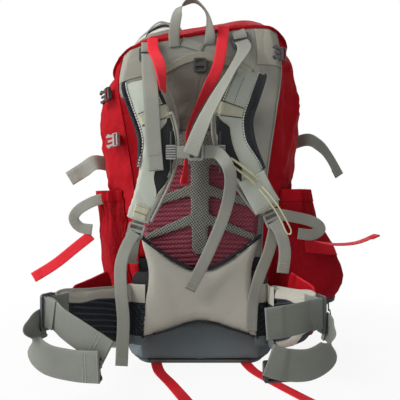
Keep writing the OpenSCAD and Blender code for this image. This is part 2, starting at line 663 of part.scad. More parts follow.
lid_steps = 7;
lid_over = 4;
lid_edge = 0.04;
lid_gap = 1.8 * run;
lid_wedge_l = 100;
function lid_wedge(y) = min(1, mix(lid_edge, 1, (y + bag_back) / lid_wedge_l));
function lid_ring(k) = let (q = 90 * k / lid_steps, f = pow(cos(q), 0.45), rise = lid_h * sin(q))
    [for (i = [0 : 39]) let (p = bag_plan(bag_row(1), i * 9, lid_over), x = p[0] * f,
        mid = (bag_front * bag_row(1)[2] - bag_back) / 2, y = max(mid + (p[1] - mid) * f, -bag_back))
        [x, y, bag_h + rim_shift(x, y) + lid_gap + rise * lid_wedge(y)]];
module lid() { color(red) skin([for (k = [0 : lid_steps - 1]) lid_ring(k)]); }
// Height of the lid's crown at a place on it
function lid_top(x, y) = bag_h + rim_shift(x, y) + lid_gap + lid_h * 0.97 * lid_wedge(y);
lid_loop_y = -40;
lid_slope = 0.46;
function lid_loop_row(x, up) = [x * kx, lid_loop_y, lid_top(x * kx, lid_loop_y) + up, 0, 1, lid_slope];
module lid_loop() {
    color(grey) ribbon([lid_loop_row(-106, web_t - 0.4), lid_loop_row(-98, 17), lid_loop_row(-78, 27),
        lid_loop_row(-58, 17), lid_loop_row(-50, web_t - 1.4)], web_slim);
}
module lid_forks() {
    color(black) for (x = [-1, 1]) at_front(1, x * lid_fork_x * kx, lid_over + seat - 0.2)
        translate([0, fork_l + 1, 0]) mirror([0, 1, 0]) side_fork(web_slim);
}

// Haul loop on the bag's top edge

module haul_loop() {
    color(grey) ribbon([[-46 * kx, y_web - 1.5 * run, 581 * kz, 1, 0, 0.2], fit_row([-47, -108, 604, 0.95, -0.2, 0.2]),
        fit_row([-38, -124, 638, 0.7, -0.6, 0.3]), fit_row([-13, -132, 654, 0, -1, 0.1]),
        fit_row([11, -126, 636, 0.1, -1, -0.2]), fit_row([18, -114, 610, 0.6, -0.7, 0]),
        [18 * kx, y_web - 1.6 * run, 586 * kz, 1, 0, 0.1]], web_slim);
}

// Hip belt: local X points to the wearer, local -Y runs out along the wing

module wing_left() { translate([-hinge_x * kx, hinge_y, 0]) rotate([0, 0, -splay_left]) children(); }
module wing_right() {
    mirror([1, 0, 0]) translate([-hinge_x * kx, hinge_y, 0]) rotate([0, 0, -splay_right]) children();
}
kw = wing_l / 200;
wing_bead = 12;
module wing_pad() {
    rows = [[0, 92, 108, 0.46], [24, 93, 116, 0.75], [60, 99, 112, 1], [125, 115, 92, 0.92],
        [170, 133, 68, 0.8], [188, 138, 58, 0.7], [200, 138, 52, 0.6]];
    band([for (r = rows) [0, -r[0] * kw, r[1] * kz, 0, 0, 1, r[2] * kz, r[3] * wing_t]]);
}
module hip_wing_left() { color(dark) wing_left() wing_pad(); }
module hip_wing_right() { color(dark) wing_right() wing_pad(); }

module wing_pocket() {
    x = -wing_t / 2 - seat;
    skin([for (r = [[28, 60, 4], [40, 82, 12], [70, 88, 17], [110, 84, 17], [138, 72, 12], [150, 50, 4]])
        [for (j = [0 : 10]) let (q = -90 + 18 * j)
            [x - r[2] * pow_s(cos(q), 0.6), -r[0] * kw,
                (100 + r[0] * 0.14) * kz + r[1] / 2 * kz * pow_s(sin(q), 0.7)]]]);
}
module wing_pocket_left() { color(red) wing_left() wing_pocket(); }
module wing_pocket_right() { color(red) wing_right() wing_pocket(); }

// Webbing of each wing: the run from the wing's tip and the folded run back through the glide
tip = wing_l + glide_l / 2 + 5 * seat;
function belt_rows(rows) = [for (r = rows) [r[1], -(tip + r[0]), r[2] * kz, r[3], r[4], r[5]]];
belt_left_out = [[6, 3.2, 139, 0, 0, 1], [7, 16, 138, 0, 0, 1], [12, 40, 127, 0, -0.1, 1],
    [10, 70, 112, 0.1, -0.1, 1], [2, 108, 90, 0.25, -0.1, 1]];
belt_left_in = [[2, -3.4, 122, 0, 0, 1], [14, -5, 118, 0, 0, 1], [24, -4, 96, 0.1, 0, 1],
    [28, 24, 80, 0.2, 0, 1], [22, 68, 75, 0.1, 0, 1], [15, 104, 76, 0, 0, 1]];
belt_right_out = [[6, 1.2, 141, 0, 0, 1], [8, 16, 140, 0, 0, 1], [16, 36, 138, 0, 0, 1],
    [23, 64, 136, 0, 0, 1], [25, 92, 134, 0, 0, 1]];
belt_right_in = [[2, -3.4, 122, 0, 0, 1], [14, -5, 116, 0, 0, 1], [24, 0, 92, 0, 0, 1],
    [30, 30, 78, 0, 0, 1], [31, 66, 80, 0, 0, 1], [29, 90, 88, 0, 0, 1]];
module hip_webbing_left() {
    color(grey) wing_left() {
        ribbon(belt_rows(belt_left_out), web_hip);
        ribbon(belt_rows(belt_left_in), web_hip);
    }
}
module hip_webbing_right() {
    color(grey) wing_right() {
        ribbon(belt_rows(belt_right_out), web_hip);
        ribbon(belt_rows(belt_right_in), web_hip);
    }
}
module belt_glide() {
    translate([0, -tip, 138 * kz]) rotate([0, 90, 0]) translate([0, 0, -glide_t / 2]) glide(web_hip);
}
module hip_glide_left() { color(dark) wing_left() belt_glide(); }
module hip_glide_right() { color(dark) wing_right() belt_glide(); }
// The buckle halves hang behind the webbing's folded run, pointing down
buckle_w = web_hip - 10;
buckle_back = web_t / 2 + 2 * seat;
module hip_buckle_fork() {
    color(black) wing_left() translate([86, buckle_back - tip - 18.5, 72 * kz]) rotate([-90, 0, 11])
        side_fork(buckle_w);
}
module hip_buckle_socket() {
    color(black) wing_right() translate([72, buckle_back - tip - 30, 78 * kz]) rotate([-90, 0, 3])
        side_socket(buckle_w);
}

// Slider of the right side pocket, with its pull hanging below
slider_share = 0.19;
slider_off = 1.6 + 2 * seat;
module zip_slider() {
    v = (slider_share - pocket_low) / (pocket_high - pocket_low);
    away = pocket_right * lookup(v, smooth(fill_right, 4)) + pocket_wall + slider_off;
    color(black) translate(bag_point(slider_share, 0, away)) {
        translate([0, -5, -4]) cube([5, 10, 8]);
        translate([2, -3, -46]) cube([2, 6, 44]);
    }
}

// Unfastened side forks, each held at its bar by the bead of a webbing tab sewn to the bag
fork_lift = 5;
bead_d = fork_slot - 2 * run;
side_fork_places = [[0.88, 218, 100, -0.3], [0.7, 230, 95, -3], [0.93, -52, 90, 1.9]];
module on_bag(place) {
    n = bag_normal(place[0], place[1]);
    translate(bag_point(place[0], place[1], 0)) rotate([90, 0, atan2(n[1], n[0]) + 90])
        rotate([0, 0, place[2]]) children();
}
module side_fork_at(i) {
    color(black) on_bag(side_fork_places[i]) translate([0, 0, fork_lift]) side_fork(web_slim);
}
module side_fork_left_upper() { side_fork_at(0); }
module side_fork_left_lower() { side_fork_at(1); }
module side_fork_right() { side_fork_at(2); }
module fork_tabs() {
    high = fork_lift + fork_t / 2;
    color(red) for (place = side_fork_places) on_bag(place) translate([0, -fork_bar, 0]) {
        translate([1 - web_slim / 2, -web_t / 2, place[3]]) cube([web_slim - 2, web_t, high - place[3]]);
        translate([1 - web_slim / 2, 0, high]) rotate([0, 90, 0]) cylinder(h = web_slim - 2, d = bead_d);
    }
}

base_panel();
rear_panel();
front_panel();
side_panel_left();
side_panel_right();
frame_sheet();
frame_rod();
hydration_sleeve();
hydration_clip();
back_pad();
spine_mesh();
belt_core();
lumbar_pad();
slate_panel();
side_pocket_left();
side_pocket_right();
front_pocket();
front_zip();
lid_sockets();
shoulder_strap_left();
shoulder_strap_right();
ladder_locks();
lower_webs();
lower_tail_left();
lower_tail_right();
lifter_locks();
load_lifter_left();
load_lifter_right();
sternum_rails();
stow_sleeve();
stow_loops();
tie_cord();
upper_side_straps();
lower_side_strap_left();
lower_side_strap_right();
red_tails();
lid_tail_left();
lid_tail_right();
mat_straps();
fork_tabs();
lid();
lid_loop();
lid_forks();
haul_loop();
hip_wing_left();
hip_wing_right();
wing_pocket_left();
wing_pocket_right();
hip_webbing_left();
hip_webbing_right();
hip_glide_left();
hip_glide_right();
hip_buckle_fork();
hip_buckle_socket();
zip_slider();
sternum_clips();
sternum_webbing();
side_fork_left_upper();
side_fork_left_lower();
side_fork_right();
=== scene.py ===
"""Looks of a trekking backpack that stands on its base with its harness towards -Y."""

import math

import bmesh
import bpy
import numpy as np
from mathutils import Matrix, Vector, noise
from mathutils.bvhtree import BVHTree


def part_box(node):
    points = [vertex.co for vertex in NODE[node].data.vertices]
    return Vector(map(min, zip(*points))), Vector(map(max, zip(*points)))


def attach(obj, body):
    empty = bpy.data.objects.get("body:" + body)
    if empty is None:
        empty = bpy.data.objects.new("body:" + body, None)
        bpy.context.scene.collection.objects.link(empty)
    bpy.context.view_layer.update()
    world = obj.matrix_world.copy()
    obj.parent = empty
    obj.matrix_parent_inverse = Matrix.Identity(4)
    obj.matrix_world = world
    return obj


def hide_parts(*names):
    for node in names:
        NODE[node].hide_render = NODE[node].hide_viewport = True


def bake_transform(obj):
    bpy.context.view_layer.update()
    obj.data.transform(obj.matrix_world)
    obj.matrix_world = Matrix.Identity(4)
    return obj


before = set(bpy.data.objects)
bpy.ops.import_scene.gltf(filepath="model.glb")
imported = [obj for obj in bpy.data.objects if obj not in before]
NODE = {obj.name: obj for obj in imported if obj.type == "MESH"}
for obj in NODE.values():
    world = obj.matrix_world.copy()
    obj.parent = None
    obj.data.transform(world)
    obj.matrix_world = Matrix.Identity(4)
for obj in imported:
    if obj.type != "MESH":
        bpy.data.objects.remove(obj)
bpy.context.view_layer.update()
SCENE = bpy.context.scene
MM = 0.001


# Shader helpers

def linear(code):
    """Linear colour of a hex code."""
    parts = [int(code[i:i + 2], 16) / 255 for i in (1, 3, 5)]
    return tuple(p / 12.92 if p <= 0.04045 else ((p + 0.055) / 1.055) ** 2.4 for p in parts) + (1.0,)


def add(tree, kind, joins=None, **settings):
    """A shader node with its settings, and its sockets joined or set."""
    node = tree.nodes.new(kind)
    for key, value in settings.items():
        setattr(node, key, value)
    for key, value in (joins or {}).items():
        if isinstance(value, bpy.types.NodeSocket):
            tree.links.new(value, node.inputs[key])
        else:
            node.inputs[key].default_value = value
    return node


def math_node(tree, operation, a, b=0.0):
    """The result of one sum on two values."""
    return add(tree, "ShaderNodeMath", {0: a, 1: b}, operation=operation).outputs[0]


def mix_colour(tree, share, a, b):
    """A colour between two others."""
    return add(tree, "ShaderNodeMix", {0: share, 6: a, 7: b}, data_type="RGBA").outputs[2]


def remap(tree, value, low, high, to_low, to_high):
    """A value moved from one range to another."""
    return add(tree, "ShaderNodeMapRange", {0: value, 1: low, 2: high, 3: to_low, 4: to_high}).outputs[0]


def noise_node(tree, place, scale, detail, **more):
    """Noise at a place."""
    joins = {"Vector": place, "Scale": scale, "Detail": detail, **more}
    return add(tree, "ShaderNodeTexNoise", joins).outputs[0]


SOCKET_KIND = {"Vector": "NodeSocketVector", "Colour": "NodeSocketColor", "Dust": "NodeSocketColor"}


def start_group(name, takes, gives):
    """A shader node group that takes a place and named values, with its inputs and outputs."""
    group = bpy.data.node_groups.new(name, "ShaderNodeTree")
    for label, value in {"Vector": None, **takes}.items():
        kind = SOCKET_KIND.get(label, "NodeSocketFloat")
        socket = group.interface.new_socket(label, in_out="INPUT", socket_type=kind)
        if value is not None:
            socket.default_value = value
    for label in gives:
        kind = SOCKET_KIND.get(label, "NodeSocketFloat")
        group.interface.new_socket(label, in_out="OUTPUT", socket_type=kind)
    return group, group.nodes.new("NodeGroupInput").outputs, group.nodes.new("NodeGroupOutput").inputs


def make_weave():
    """Crossed threads that show on a surface of any direction."""
    group, take, give = start_group("Woven threads", {"Pitch": 900.0}, ["Height"])
    scaled = add(group, "ShaderNodeVectorMath", {0: take["Vector"], 3: take["Pitch"]}, operation="SCALE")
    parts = add(group, "ShaderNodeSeparateXYZ", {0: scaled.outputs[0]}).outputs
    waves = [math_node(group, "SINE", parts[k]) for k in range(3)]
    pairs = [math_node(group, "MULTIPLY", waves[a], waves[b]) for a, b in ((0, 1), (1, 2), (2, 0))]
    total = math_node(group, "ADD", math_node(group, "ADD", pairs[0], pairs[1]), pairs[2])
    group.links.new(remap(group, total, -1.5, 1.5, 0.0, 1.0), give["Height"])
    return group


def make_fade():
    """Sun fading and dust in soft patches, with the roughness that goes with them."""
    takes = {"Colour": None, "Dust": None, "Patches": 14.0, "Amount": 0.4, "Rough": 0.7}
    group, take, give = start_group("Fade and dust", takes, ["Colour", "Roughness"])
    wide = noise_node(group, take["Vector"], take["Patches"], 5.0, Roughness=0.6)
    fine = noise_node(group, take["Vector"], 420.0, 2.0)
    mask = remap(group, wide, 0.35, 0.72, 0.0, 1.0)
    speck = remap(group, fine, 0.3, 0.7, 0.7, 1.3)
    share = math_node(group, "MULTIPLY", math_node(group, "MULTIPLY", mask, speck), take["Amount"])
    group.links.new(mix_colour(group, share, take["Colour"], take["Dust"]), give["Colour"])
    rough = math_node(group, "ADD", take["Rough"], remap(group, wide, 0.3, 0.7, -0.08, 0.1))
    group.links.new(rough, give["Roughness"])
    return group


def make_crease():
    """Fine creases of used cloth."""
    group, take, give = start_group("Creases", {"Scale": 18.0}, ["Height"])
    soft = noise_node(group, take["Vector"], take["Scale"], 3.0, Distortion=1.1)
    fold = math_node(group, "ABSOLUTE", math_node(group, "SUBTRACT", soft, 0.5))
    group.links.new(math_node(group, "POWER", math_node(group, "MULTIPLY", fold, 3.0), 0.6), give["Height"])
    return group


def make_holes():
    """Holes of an open knitted mesh."""
    group, take, give = start_group("Mesh holes", {"Cells": 260.0}, ["Mask"])
    cells = add(group, "ShaderNodeTexVoronoi", {"Vector": take["Vector"], "Scale": take["Cells"],
                                                "Randomness": 0.08}).outputs[0]
    group.links.new(remap(group, cells, 0.24, 0.42, 1.0, 0.0), give["Mask"])
    return group


def make_web():
    """Ribs and twill of flat webbing, across and along in millimetres, with its rubbed edges."""
    group, take, give = start_group("Web ribs", {"Half width": 10.0}, ["Height", "Edge"])
    parts = add(group, "ShaderNodeSeparateXYZ", {0: take["Vector"]}).outputs
    rib = math_node(group, "SINE", math_node(group, "MULTIPLY", parts[0], 4.2))
    off = math_node(group, "ABSOLUTE", parts[0])
    slant = math_node(group, "ADD", math_node(group, "MULTIPLY", parts[1], 3.6),
                      math_node(group, "MULTIPLY", off, 1.8))
    twill = math_node(group, "SINE", slant)
    both = math_node(group, "ADD", rib, math_node(group, "MULTIPLY", twill, 0.8))
    group.links.new(remap(group, both, -1.8, 1.8, 0.0, 1.0), give["Height"])
    near = math_node(group, "DIVIDE", off, take["Half width"])
    group.links.new(remap(group, near, 0.78, 1.0, 0.0, 1.0), give["Edge"])
    return group


def make_scuff():
    """Handling marks on moulded plastic."""
    group, take, give = start_group("Scuffs", {"Amount": 0.5}, ["Mask", "Grain"])
    stretch = add(group, "ShaderNodeMapping", {0: take["Vector"], 3: (60.0, 60.0, 240.0)})
    marks = noise_node(group, stretch.outputs[0], 3.0, 6.0)
    mask = math_node(group, "MULTIPLY", remap(group, marks, 0.55, 0.75, 0.0, 1.0), take["Amount"])
    group.links.new(mask, give["Mask"])
    group.links.new(noise_node(group, take["Vector"], 1600.0, 1.0), give["Grain"])
    return group


WEAVE = make_weave()
FADE = make_fade()
CREASE = make_crease()
HOLES = make_holes()
WEB = make_web()
SCUFF = make_scuff()
SLOT = {}


def start_material(name, slot):
    """A new material for a record slot, its tree, its shader and the object's coordinates."""
    material = bpy.data.materials.new(name)
    SLOT[material.name] = slot
    material.use_nodes = True
    tree = material.node_tree
    place = add(tree, "ShaderNodeTexCoord").outputs["Object"]
    return material, tree, tree.nodes["Principled BSDF"], place


def use(tree, group, **joins):
    """A shader node group placed in a material."""
    return add(tree, "ShaderNodeGroup", {k.replace("_", " "): v for k, v in joins.items()},
               node_tree=group).outputs


def surface(tree, shader, colour, rough, gloss, bumps):
    """Colour, roughness and gloss of a shader, and bumps of a height, a depth in metres and a strength."""
    tree.links.new(colour, shader.inputs["Base Color"])
    tree.links.new(rough, shader.inputs["Roughness"])
    shader.inputs["Specular IOR Level"].default_value = gloss
    normal = {}
    for height, depth, strength in bumps:
        joins = {"Height": height, "Distance": depth, "Strength": strength, **normal}
        normal = {"Normal": add(tree, "ShaderNodeBump", joins).outputs[0]}
    if normal:
        tree.links.new(normal["Normal"], shader.inputs["Normal"])


def cloth(name, slot, colour, dusty, pitch=1500.0, fade=0.35, rough=0.76, crease=0.002, scale=16.0,
          gloss=0.22):
    """Woven pack cloth."""
    material, tree, shader, place = start_material(name, slot)
    tone = use(tree, FADE, Vector=place, Colour=linear(colour), Dust=linear(dusty), Amount=fade, Rough=rough)
    threads = use(tree, WEAVE, Vector=place, Pitch=pitch)["Height"]
    folds = use(tree, CREASE, Vector=place, Scale=scale)["Height"]
    # Painted shade: the cloth's colour darkens towards near-black where its threads dip
    shade = mix_colour(tree, remap(tree, threads, 0.3, 0.7, 0.12, 0.0), tone["Colour"], linear("#101010"))
    surface(tree, shader, shade, tone["Roughness"], gloss, [(threads, 0.0004, 0.35), (folds, crease, 0.55)])
    return material


def thread(name, slot, colour, dusty, fade=0.35, rough=0.6, pitch=3000.0):
    """Sewing thread or elastic, without creases."""
    return cloth(name, slot, colour, dusty, pitch, fade, rough, crease=0.0)


def mesh_cloth(name, slot, colour, hole, cells, flat=(1, 0, 1), deep=0.0012, fade=0.3):
    """Open spacer mesh with holes in slanted rows, seen along the axis that flat leaves out."""
    material, tree, shader, place = start_material(name, slot)
    spun = add(tree, "ShaderNodeMapping", {0: place, 3: flat}).outputs[0]
    turned = add(tree, "ShaderNodeVectorRotate", {0: spun, 2: tuple(1.0 - k for k in flat), 3: 0.62})
    tone = use(tree, FADE, Vector=place, Colour=linear(colour), Dust=linear("#9a978c"), Amount=fade,
               Rough=0.85)
    mask = use(tree, HOLES, Vector=turned.outputs[0], Cells=cells)["Mask"]
    surface(tree, shader, mix_colour(tree, mask, tone["Colour"], linear(hole)), tone["Roughness"], 0.2,
            [(remap(tree, mask, 0.0, 1.0, 1.0, 0.0), deep, 0.6)])
    return material


def web_cloth(name, slot, colour, rubbed, half_width=10.0):
    """Woven webbing, read from the piece's own across and along map."""
    material, tree, shader, place = start_material(name, slot)
    run = add(tree, "ShaderNodeUVMap", uv_map="web").outputs[0]
    tone = use(tree, FADE, Vector=place, Colour=linear(colour), Dust=linear(rubbed), Amount=0.4, Rough=0.66)
    ribs = use(tree, WEB, Vector=run, Half_width=half_width)
    worn = mix_colour(tree, math_node(tree, "MULTIPLY", ribs["Edge"], 0.3), tone["Colour"], linear(rubbed))
    # Painted shade: the webbing's colour darkens towards near-black in the grooves between its ribs and twill
    dark = mix_colour(tree, remap(tree, ribs["Height"], 0.15, 0.6, 0.22, 0.0), worn, linear("#1c1c1a"))
    surface(tree, shader, dark, tone["Roughness"], 0.25, [(ribs["Height"], 0.0004, 0.5)])
    return material


def plastic(name, slot, colour, scuffed, rough=0.38):
    """Moulded plastic with handling marks."""
    material, tree, shader, place = start_material(name, slot)
    marks = use(tree, SCUFF, Vector=place, Amount=0.5)
    surface(tree, shader, mix_colour(tree, marks["Mask"], linear(colour), linear(scuffed)),
            remap(tree, marks["Mask"], 0.0, 1.0, rough, rough + 0.25), 0.5, [(marks["Grain"], 0.0002, 0.3)])
    return material


def alloy(name):
    """Drawn aluminium rod."""
    material, tree, shader, place = start_material(name, None)
    marks = use(tree, SCUFF, Vector=place, Amount=0.6)
    surface(tree, shader, mix_colour(tree, marks["Mask"], linear("#b9bcc0"), linear("#8f9296")),
            remap(tree, marks["Grain"], 0.3, 0.7, 0.24, 0.38), 0.5, [])
    shader.inputs["Metallic"].default_value = 1.0
    return material


# Materials with their record slots: a thread without one takes the slot of what it is sewn to
RED = cloth("red_pack_cloth", "red_fabric", "#a60a18", "#b31d2a", fade=0.25, rough=0.7, crease=0.003,
            scale=11.0, gloss=0.09)
RED_STRETCH = cloth("red_stretch_cloth", "red_fabric", "#980a17", "#a61c28", pitch=1100.0, fade=0.25,
                    rough=0.8, crease=0.004, scale=20.0, gloss=0.1)
RED_TRIM = cloth("red_trim_cloth", "red_fabric", "#cf1526", "#dc3b46", pitch=2200.0, rough=0.7, crease=0.0,
                 gloss=0.15)
GREY = cloth("grey_pack_cloth", "grey_fabric", "#8d8c83", "#a3a196")
PALE = cloth("pale_corner_cloth", "grey_fabric", "#9f9d90", "#adaa9e")
SLEEVE = cloth("sleeve_cloth", "slate_fabric", "#635d55", "#777168", rough=0.6, crease=0.005, scale=12.0)
HEM = cloth("hem_cloth", "grey_fabric", "#8a8677", "#9c9888")
SLATE = cloth("slate_cloth", "slate_fabric", "#6a7376", "#7f878a")
LUMBAR = cloth("lumbar_cloth", "pale_foam", "#b8b5a9", "#c4c1b6", pitch=1900.0, fade=0.45, rough=0.84,
               crease=0.0015, scale=9.0)
STRAP = cloth("strap_cloth", "pale_foam", "#b6bbaf", "#c2c6bb", pitch=1900.0, crease=0.0015, scale=14.0)
BINDING = cloth("binding_cloth", "black_foam", "#3f4242", "#585b5a", pitch=2200.0)
NAVY = cloth("navy_panel_cloth", "black_foam", "#17191d", "#2a2d32", pitch=2200.0, fade=0.25, rough=0.6)
KHAKI = cloth("khaki_band_cloth", "pale_foam", "#bab79f", "#c7c4ae", pitch=1700.0)
MAROON = mesh_cloth("maroon_pad_cloth", "maroon_foam", "#762d3a", "#96505d", 210.0, deep=0.0004, fade=0.08)
SPINE = mesh_cloth("spine_mesh_cloth", "spacer_mesh", "#8c8d83", "#34352f", 250.0, deep=0.002, fade=0.15)
DARK_MESH = mesh_cloth("dark_spacer_mesh", "black_foam", "#2b3138", "#101317", 330.0, flat=(0, 1, 1),
                       fade=0.06)
EDGE_MESH = mesh_cloth("edge_spacer_mesh", "pale_foam", "#33373c", "#0f1113", 300.0, fade=0.1)
WEB_GREY = web_cloth("grey_webbing", "grey_webbing", "#8e8f85", "#a8a89e")
WEB_HIP = web_cloth("wide_grey_webbing", "grey_webbing", "#7a7d75", "#989a90", 22.0)
WEB_RED = web_cloth("red_webbing", "red_webbing", "#ec1d2f", "#f0484f")
WEB_DARK = web_cloth("zip_tape", "black_plastic", "#1d1e20", "#3a3b3d", 7.0)
# Lighter than the wing's dark mesh: a painted highlight for the beads along the crests of the wing's ribs
RIB_HIGHLIGHT = cloth("rib_highlight_cloth", "black_foam", "#3c454c", "#525a60", pitch=2200.0, fade=0.2, rough=0.7, crease=0.0)
WHITE_THREAD = thread("white_thread", None, "#dcddd5", "#e6e6df", fade=0.1)
THREAD = thread("pale_thread", None, "#bdbbae", "#cfcdc2")
DARK_THREAD = thread("dark_thread", None, "#3c3d3c", "#565755")
RED_THREAD = thread("red_thread", None, "#b01022", "#c94450")
ELASTIC = thread("cream_elastic", "cream_elastic", "#c9c49c", "#d8d4b4", rough=0.75, pitch=2600.0)
BLACK_PLASTIC = plastic("black_plastic", "black_plastic", "#191a1c", "#3c3d3f")
DARK_PLASTIC = plastic("dark_plastic", "dark_plastic", "#3f4144", "#6a6c6e")
GREY_PLASTIC = plastic("grey_plastic", None, "#8b8c87", "#b6b7b1", rough=0.26)
SHEET_PLASTIC = plastic("frame_sheet_plastic", None, "#26272a", "#4a4b4e", rough=0.5)
ALLOY = alloy("drawn_alloy")
ZIP_TEETH = plastic("zip_teeth", "black_plastic", "#2a2b2d", "#55565a", rough=0.3)


# Curves and the bag's own surface, in millimetres

def smooth(rows, steps):
    """A smooth curve through the rows of a list, with so many steps for each row."""
    rows = np.asarray(rows, float)
    out = []
    for i in range(len(rows) - 1):
        a, b = rows[max(i - 1, 0)], rows[i]
        c, d = rows[i + 1], rows[min(i + 2, len(rows) - 1)]
        for k in range(steps):
            t = k / steps
            out.append(0.5 * (2 * b + (c - a) * t + (2 * a - 5 * b + 4 * c - d) * t ** 2
                              + (3 * b - a - 3 * c + d) * t ** 3))
    out.append(rows[-1])
    return np.array(out)


def unit(v):
    """Vectors of length one."""
    return v / np.maximum(np.linalg.norm(v, axis=-1, keepdims=True), 1e-9)


def ramp(value, low, high):
    """A soft step from 0 to 1."""
    t = np.clip((np.asarray(value, float) - low) / (high - low), 0, 1)
    return t * t * (3 - 2 * t)


def powered(a, e):
    """A power that keeps the sign."""
    return np.sign(a) * np.abs(a) ** e


def lumps(points, scale, seed):
    """Smooth noise between about -1 and 1 at points in millimetres."""
    flat = np.asarray(points, float).reshape(-1, 3) * scale + seed
    return np.array([noise.noise(Vector(p)) for p in flat]).reshape(np.shape(points)[:-1])


def run_of(path):
    """Distance along a path at each of its points."""
    return np.concatenate([[0], np.cumsum(np.linalg.norm(np.diff(path, axis=0), axis=1))])


def sample(at, run, rows):
    """Rows read at places along them."""
    return np.stack([np.interp(at, run, rows[:, c]) for c in range(rows.shape[1])], -1)


BAG_H, BAG_W, BAG_D = 596, 400, 250
BAG_BACK = 98
BAG_FRONT = BAG_D - BAG_BACK
BASE_T = 3
SEAT = 0.3
WEB_T = 1.8
BAG_ROWS = smooth([[0, 0.62, 0.66, 36], [0.025, 0.69, 0.82, 34], [0.1, 0.77, 0.95, 31], [0.25, 0.83, 1, 29],
                   [0.5, 0.9, 1, 28], [0.75, 0.99, 0.96, 32], [0.9, 0.95, 0.86, 41], [1, 0.83, 0.74, 48]], 4)
CORNER = 0.55
REAR_BULGE = 14
RIM_HALF = 166
RIM_RISE = 9
RIM_LEAN = 0.15
RIM_FALL = 40
RIM_CORNER = 28
RISE_FROM = 0.4
Y_SEAT = -BAG_BACK - SEAT
Y_WEB = Y_SEAT - WEB_T / 2
Y_PAD = -112.3
Y_LUMBAR = -139.9


def bag_row(share):
    """Half width, front reach and rear panel angle of the bag at a share of its height."""
    return [np.interp(share, BAG_ROWS[:, 0], BAG_ROWS[:, c]) for c in (1, 2, 3)]


def rim_shift(x, y):
    """Rise of the top edge at a place: it leans, falls to the front and rounds its corners."""
    corner = RIM_CORNER * np.minimum(np.abs(x) / RIM_HALF, 1) ** 5
    return RIM_RISE + RIM_LEAN * x - RIM_FALL * (y + BAG_BACK) / BAG_D - corner


def bag_point(share, angle, out):
    """Points of the bag's fabric at shares of its height and angles round it."""
    share, angle, out = np.broadcast_arrays(np.asarray(share, float), np.radians(angle),
                                            np.asarray(out, float))
    wide, deep, _ = bag_row(share)
    w = wide * BAG_W / 2 + out
    f = deep * BAG_FRONT + out
    b = BAG_BACK + out
    reach = (f + b) / 2 + np.where(np.sin(angle) < 0, REAR_BULGE, 0)
    x = w * powered(np.cos(angle), CORNER)
    y = np.maximum((f - b) / 2 + reach * powered(np.sin(angle), CORNER), -b)
    rise = (np.maximum(share - RISE_FROM, 0) / (1 - RISE_FROM)) ** 2
    return np.stack([x, y, BASE_T + share * (BAG_H - BASE_T) + rise * rim_shift(x, y)], -1)


def bag_spot(share, angle, out):
    """One place on the bag as a list."""
    return [float(v) for v in bag_point(share, angle, out)]


def bag_normal(share, angle):
    """Level direction out of the bag."""
    step = bag_point(share, angle, 10) - bag_point(share, angle, 0)
    step[..., 2] = 0
    return unit(step)


# Mesh helpers

def grid_faces(rows, columns, wrap=False):
    """Faces of a grid of points, row by row."""
    faces = []
    for i in range(rows - 1):
        for j in range(columns if wrap else columns - 1):
            k = (j + 1) % columns
            faces.append((i * columns + j, i * columns + k, (i + 1) * columns + k, (i + 1) * columns + j))
    return faces


def sheet_solid(outer, inner):
    """Points and faces of a closed sheet between two grids."""
    rows, columns = outer.shape[:2]
    count = rows * columns
    faces = grid_faces(rows, columns)
    faces += [tuple(count + k for k in reversed(f)) for f in faces]
    rim = [j for j in range(columns)] + [i * columns + columns - 1 for i in range(1, rows)]
    rim += [count - 1 - j for j in range(1, columns)] + [i * columns for i in range(rows - 2, 0, -1)]
    faces += [(b, a, a + count, b + count) for a, b in zip(rim, rim[1:] + rim[:1])]
    return np.concatenate([outer.reshape(-1, 3), inner.reshape(-1, 3)]), faces


def ring_solid(rings):
    """Points and faces of a solid skinned over closed rings."""
    rings = np.asarray(rings)
    rows, columns = rings.shape[:2]
    faces = grid_faces(rows, columns, wrap=True)
    faces.append(tuple(reversed(range(columns))))
    faces.append(tuple((rows - 1) * columns + j for j in range(columns)))
    return rings.reshape(-1, 3), faces


def frames_along(path, sides):
    """Across and out directions of a path, from its points and wanted across directions."""
    along = unit(np.gradient(path, axis=0))
    across = unit(sides - np.sum(sides * along, -1, keepdims=True) * along)
    return across, np.cross(along, across)


def tube_solid(points, radius, sides=8):
    """Points and faces of a round tube along points."""
    points = np.asarray(points, float)
    across, out = frames_along(points, np.tile([0.31, 0.52, 0.8], (len(points), 1)))
    turn = 2 * np.pi * np.arange(sides) / sides
    ring = across[:, None] * np.cos(turn)[None, :, None] + out[:, None] * np.sin(turn)[None, :, None]
    return ring_solid(points[:, None] + ring * radius)


def merged(solids):
    """Several solids as one mesh."""
    points, faces, count = [], [], 0
    for some, own in solids:
        points.append(np.asarray(some))
        faces += [tuple(k + count for k in f) for f in own]
        count += len(some)
    return np.concatenate(points), faces


PIECE_SLOT = {}


def finish_piece(obj, material, on, node=None, slot=None):
    """Material and record slot of a piece, and the body or other piece that it rides on."""
    work = bmesh.new()
    work.from_mesh(obj.data)
    bmesh.ops.recalc_face_normals(work, faces=work.faces)
    work.to_mesh(obj.data)
    work.free()
    obj.data.materials.clear()
    obj.data.materials.append(material)
    obj.data.polygons.foreach_set("use_smooth", [True] * len(obj.data.polygons))
    if isinstance(on, str):
        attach(obj, on)
    elif on:
        obj.parent = on
    PIECE_SLOT[obj.name] = slot or SLOT[material.name] or PIECE_SLOT[on.name]
    if node:
        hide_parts(node)
    return obj


def piece(name, solid, material, on, node=None, slot=None):
    """A new piece from points in millimetres and faces."""
    points, faces = solid
    mesh = bpy.data.meshes.new(name)
    mesh.from_pydata((np.asarray(points) * MM).tolist(), [], faces)
    mesh.update()
    obj = bpy.data.objects.new(name, mesh)
    SCENE.collection.objects.link(obj)
    return finish_piece(obj, material, on, node, slot)


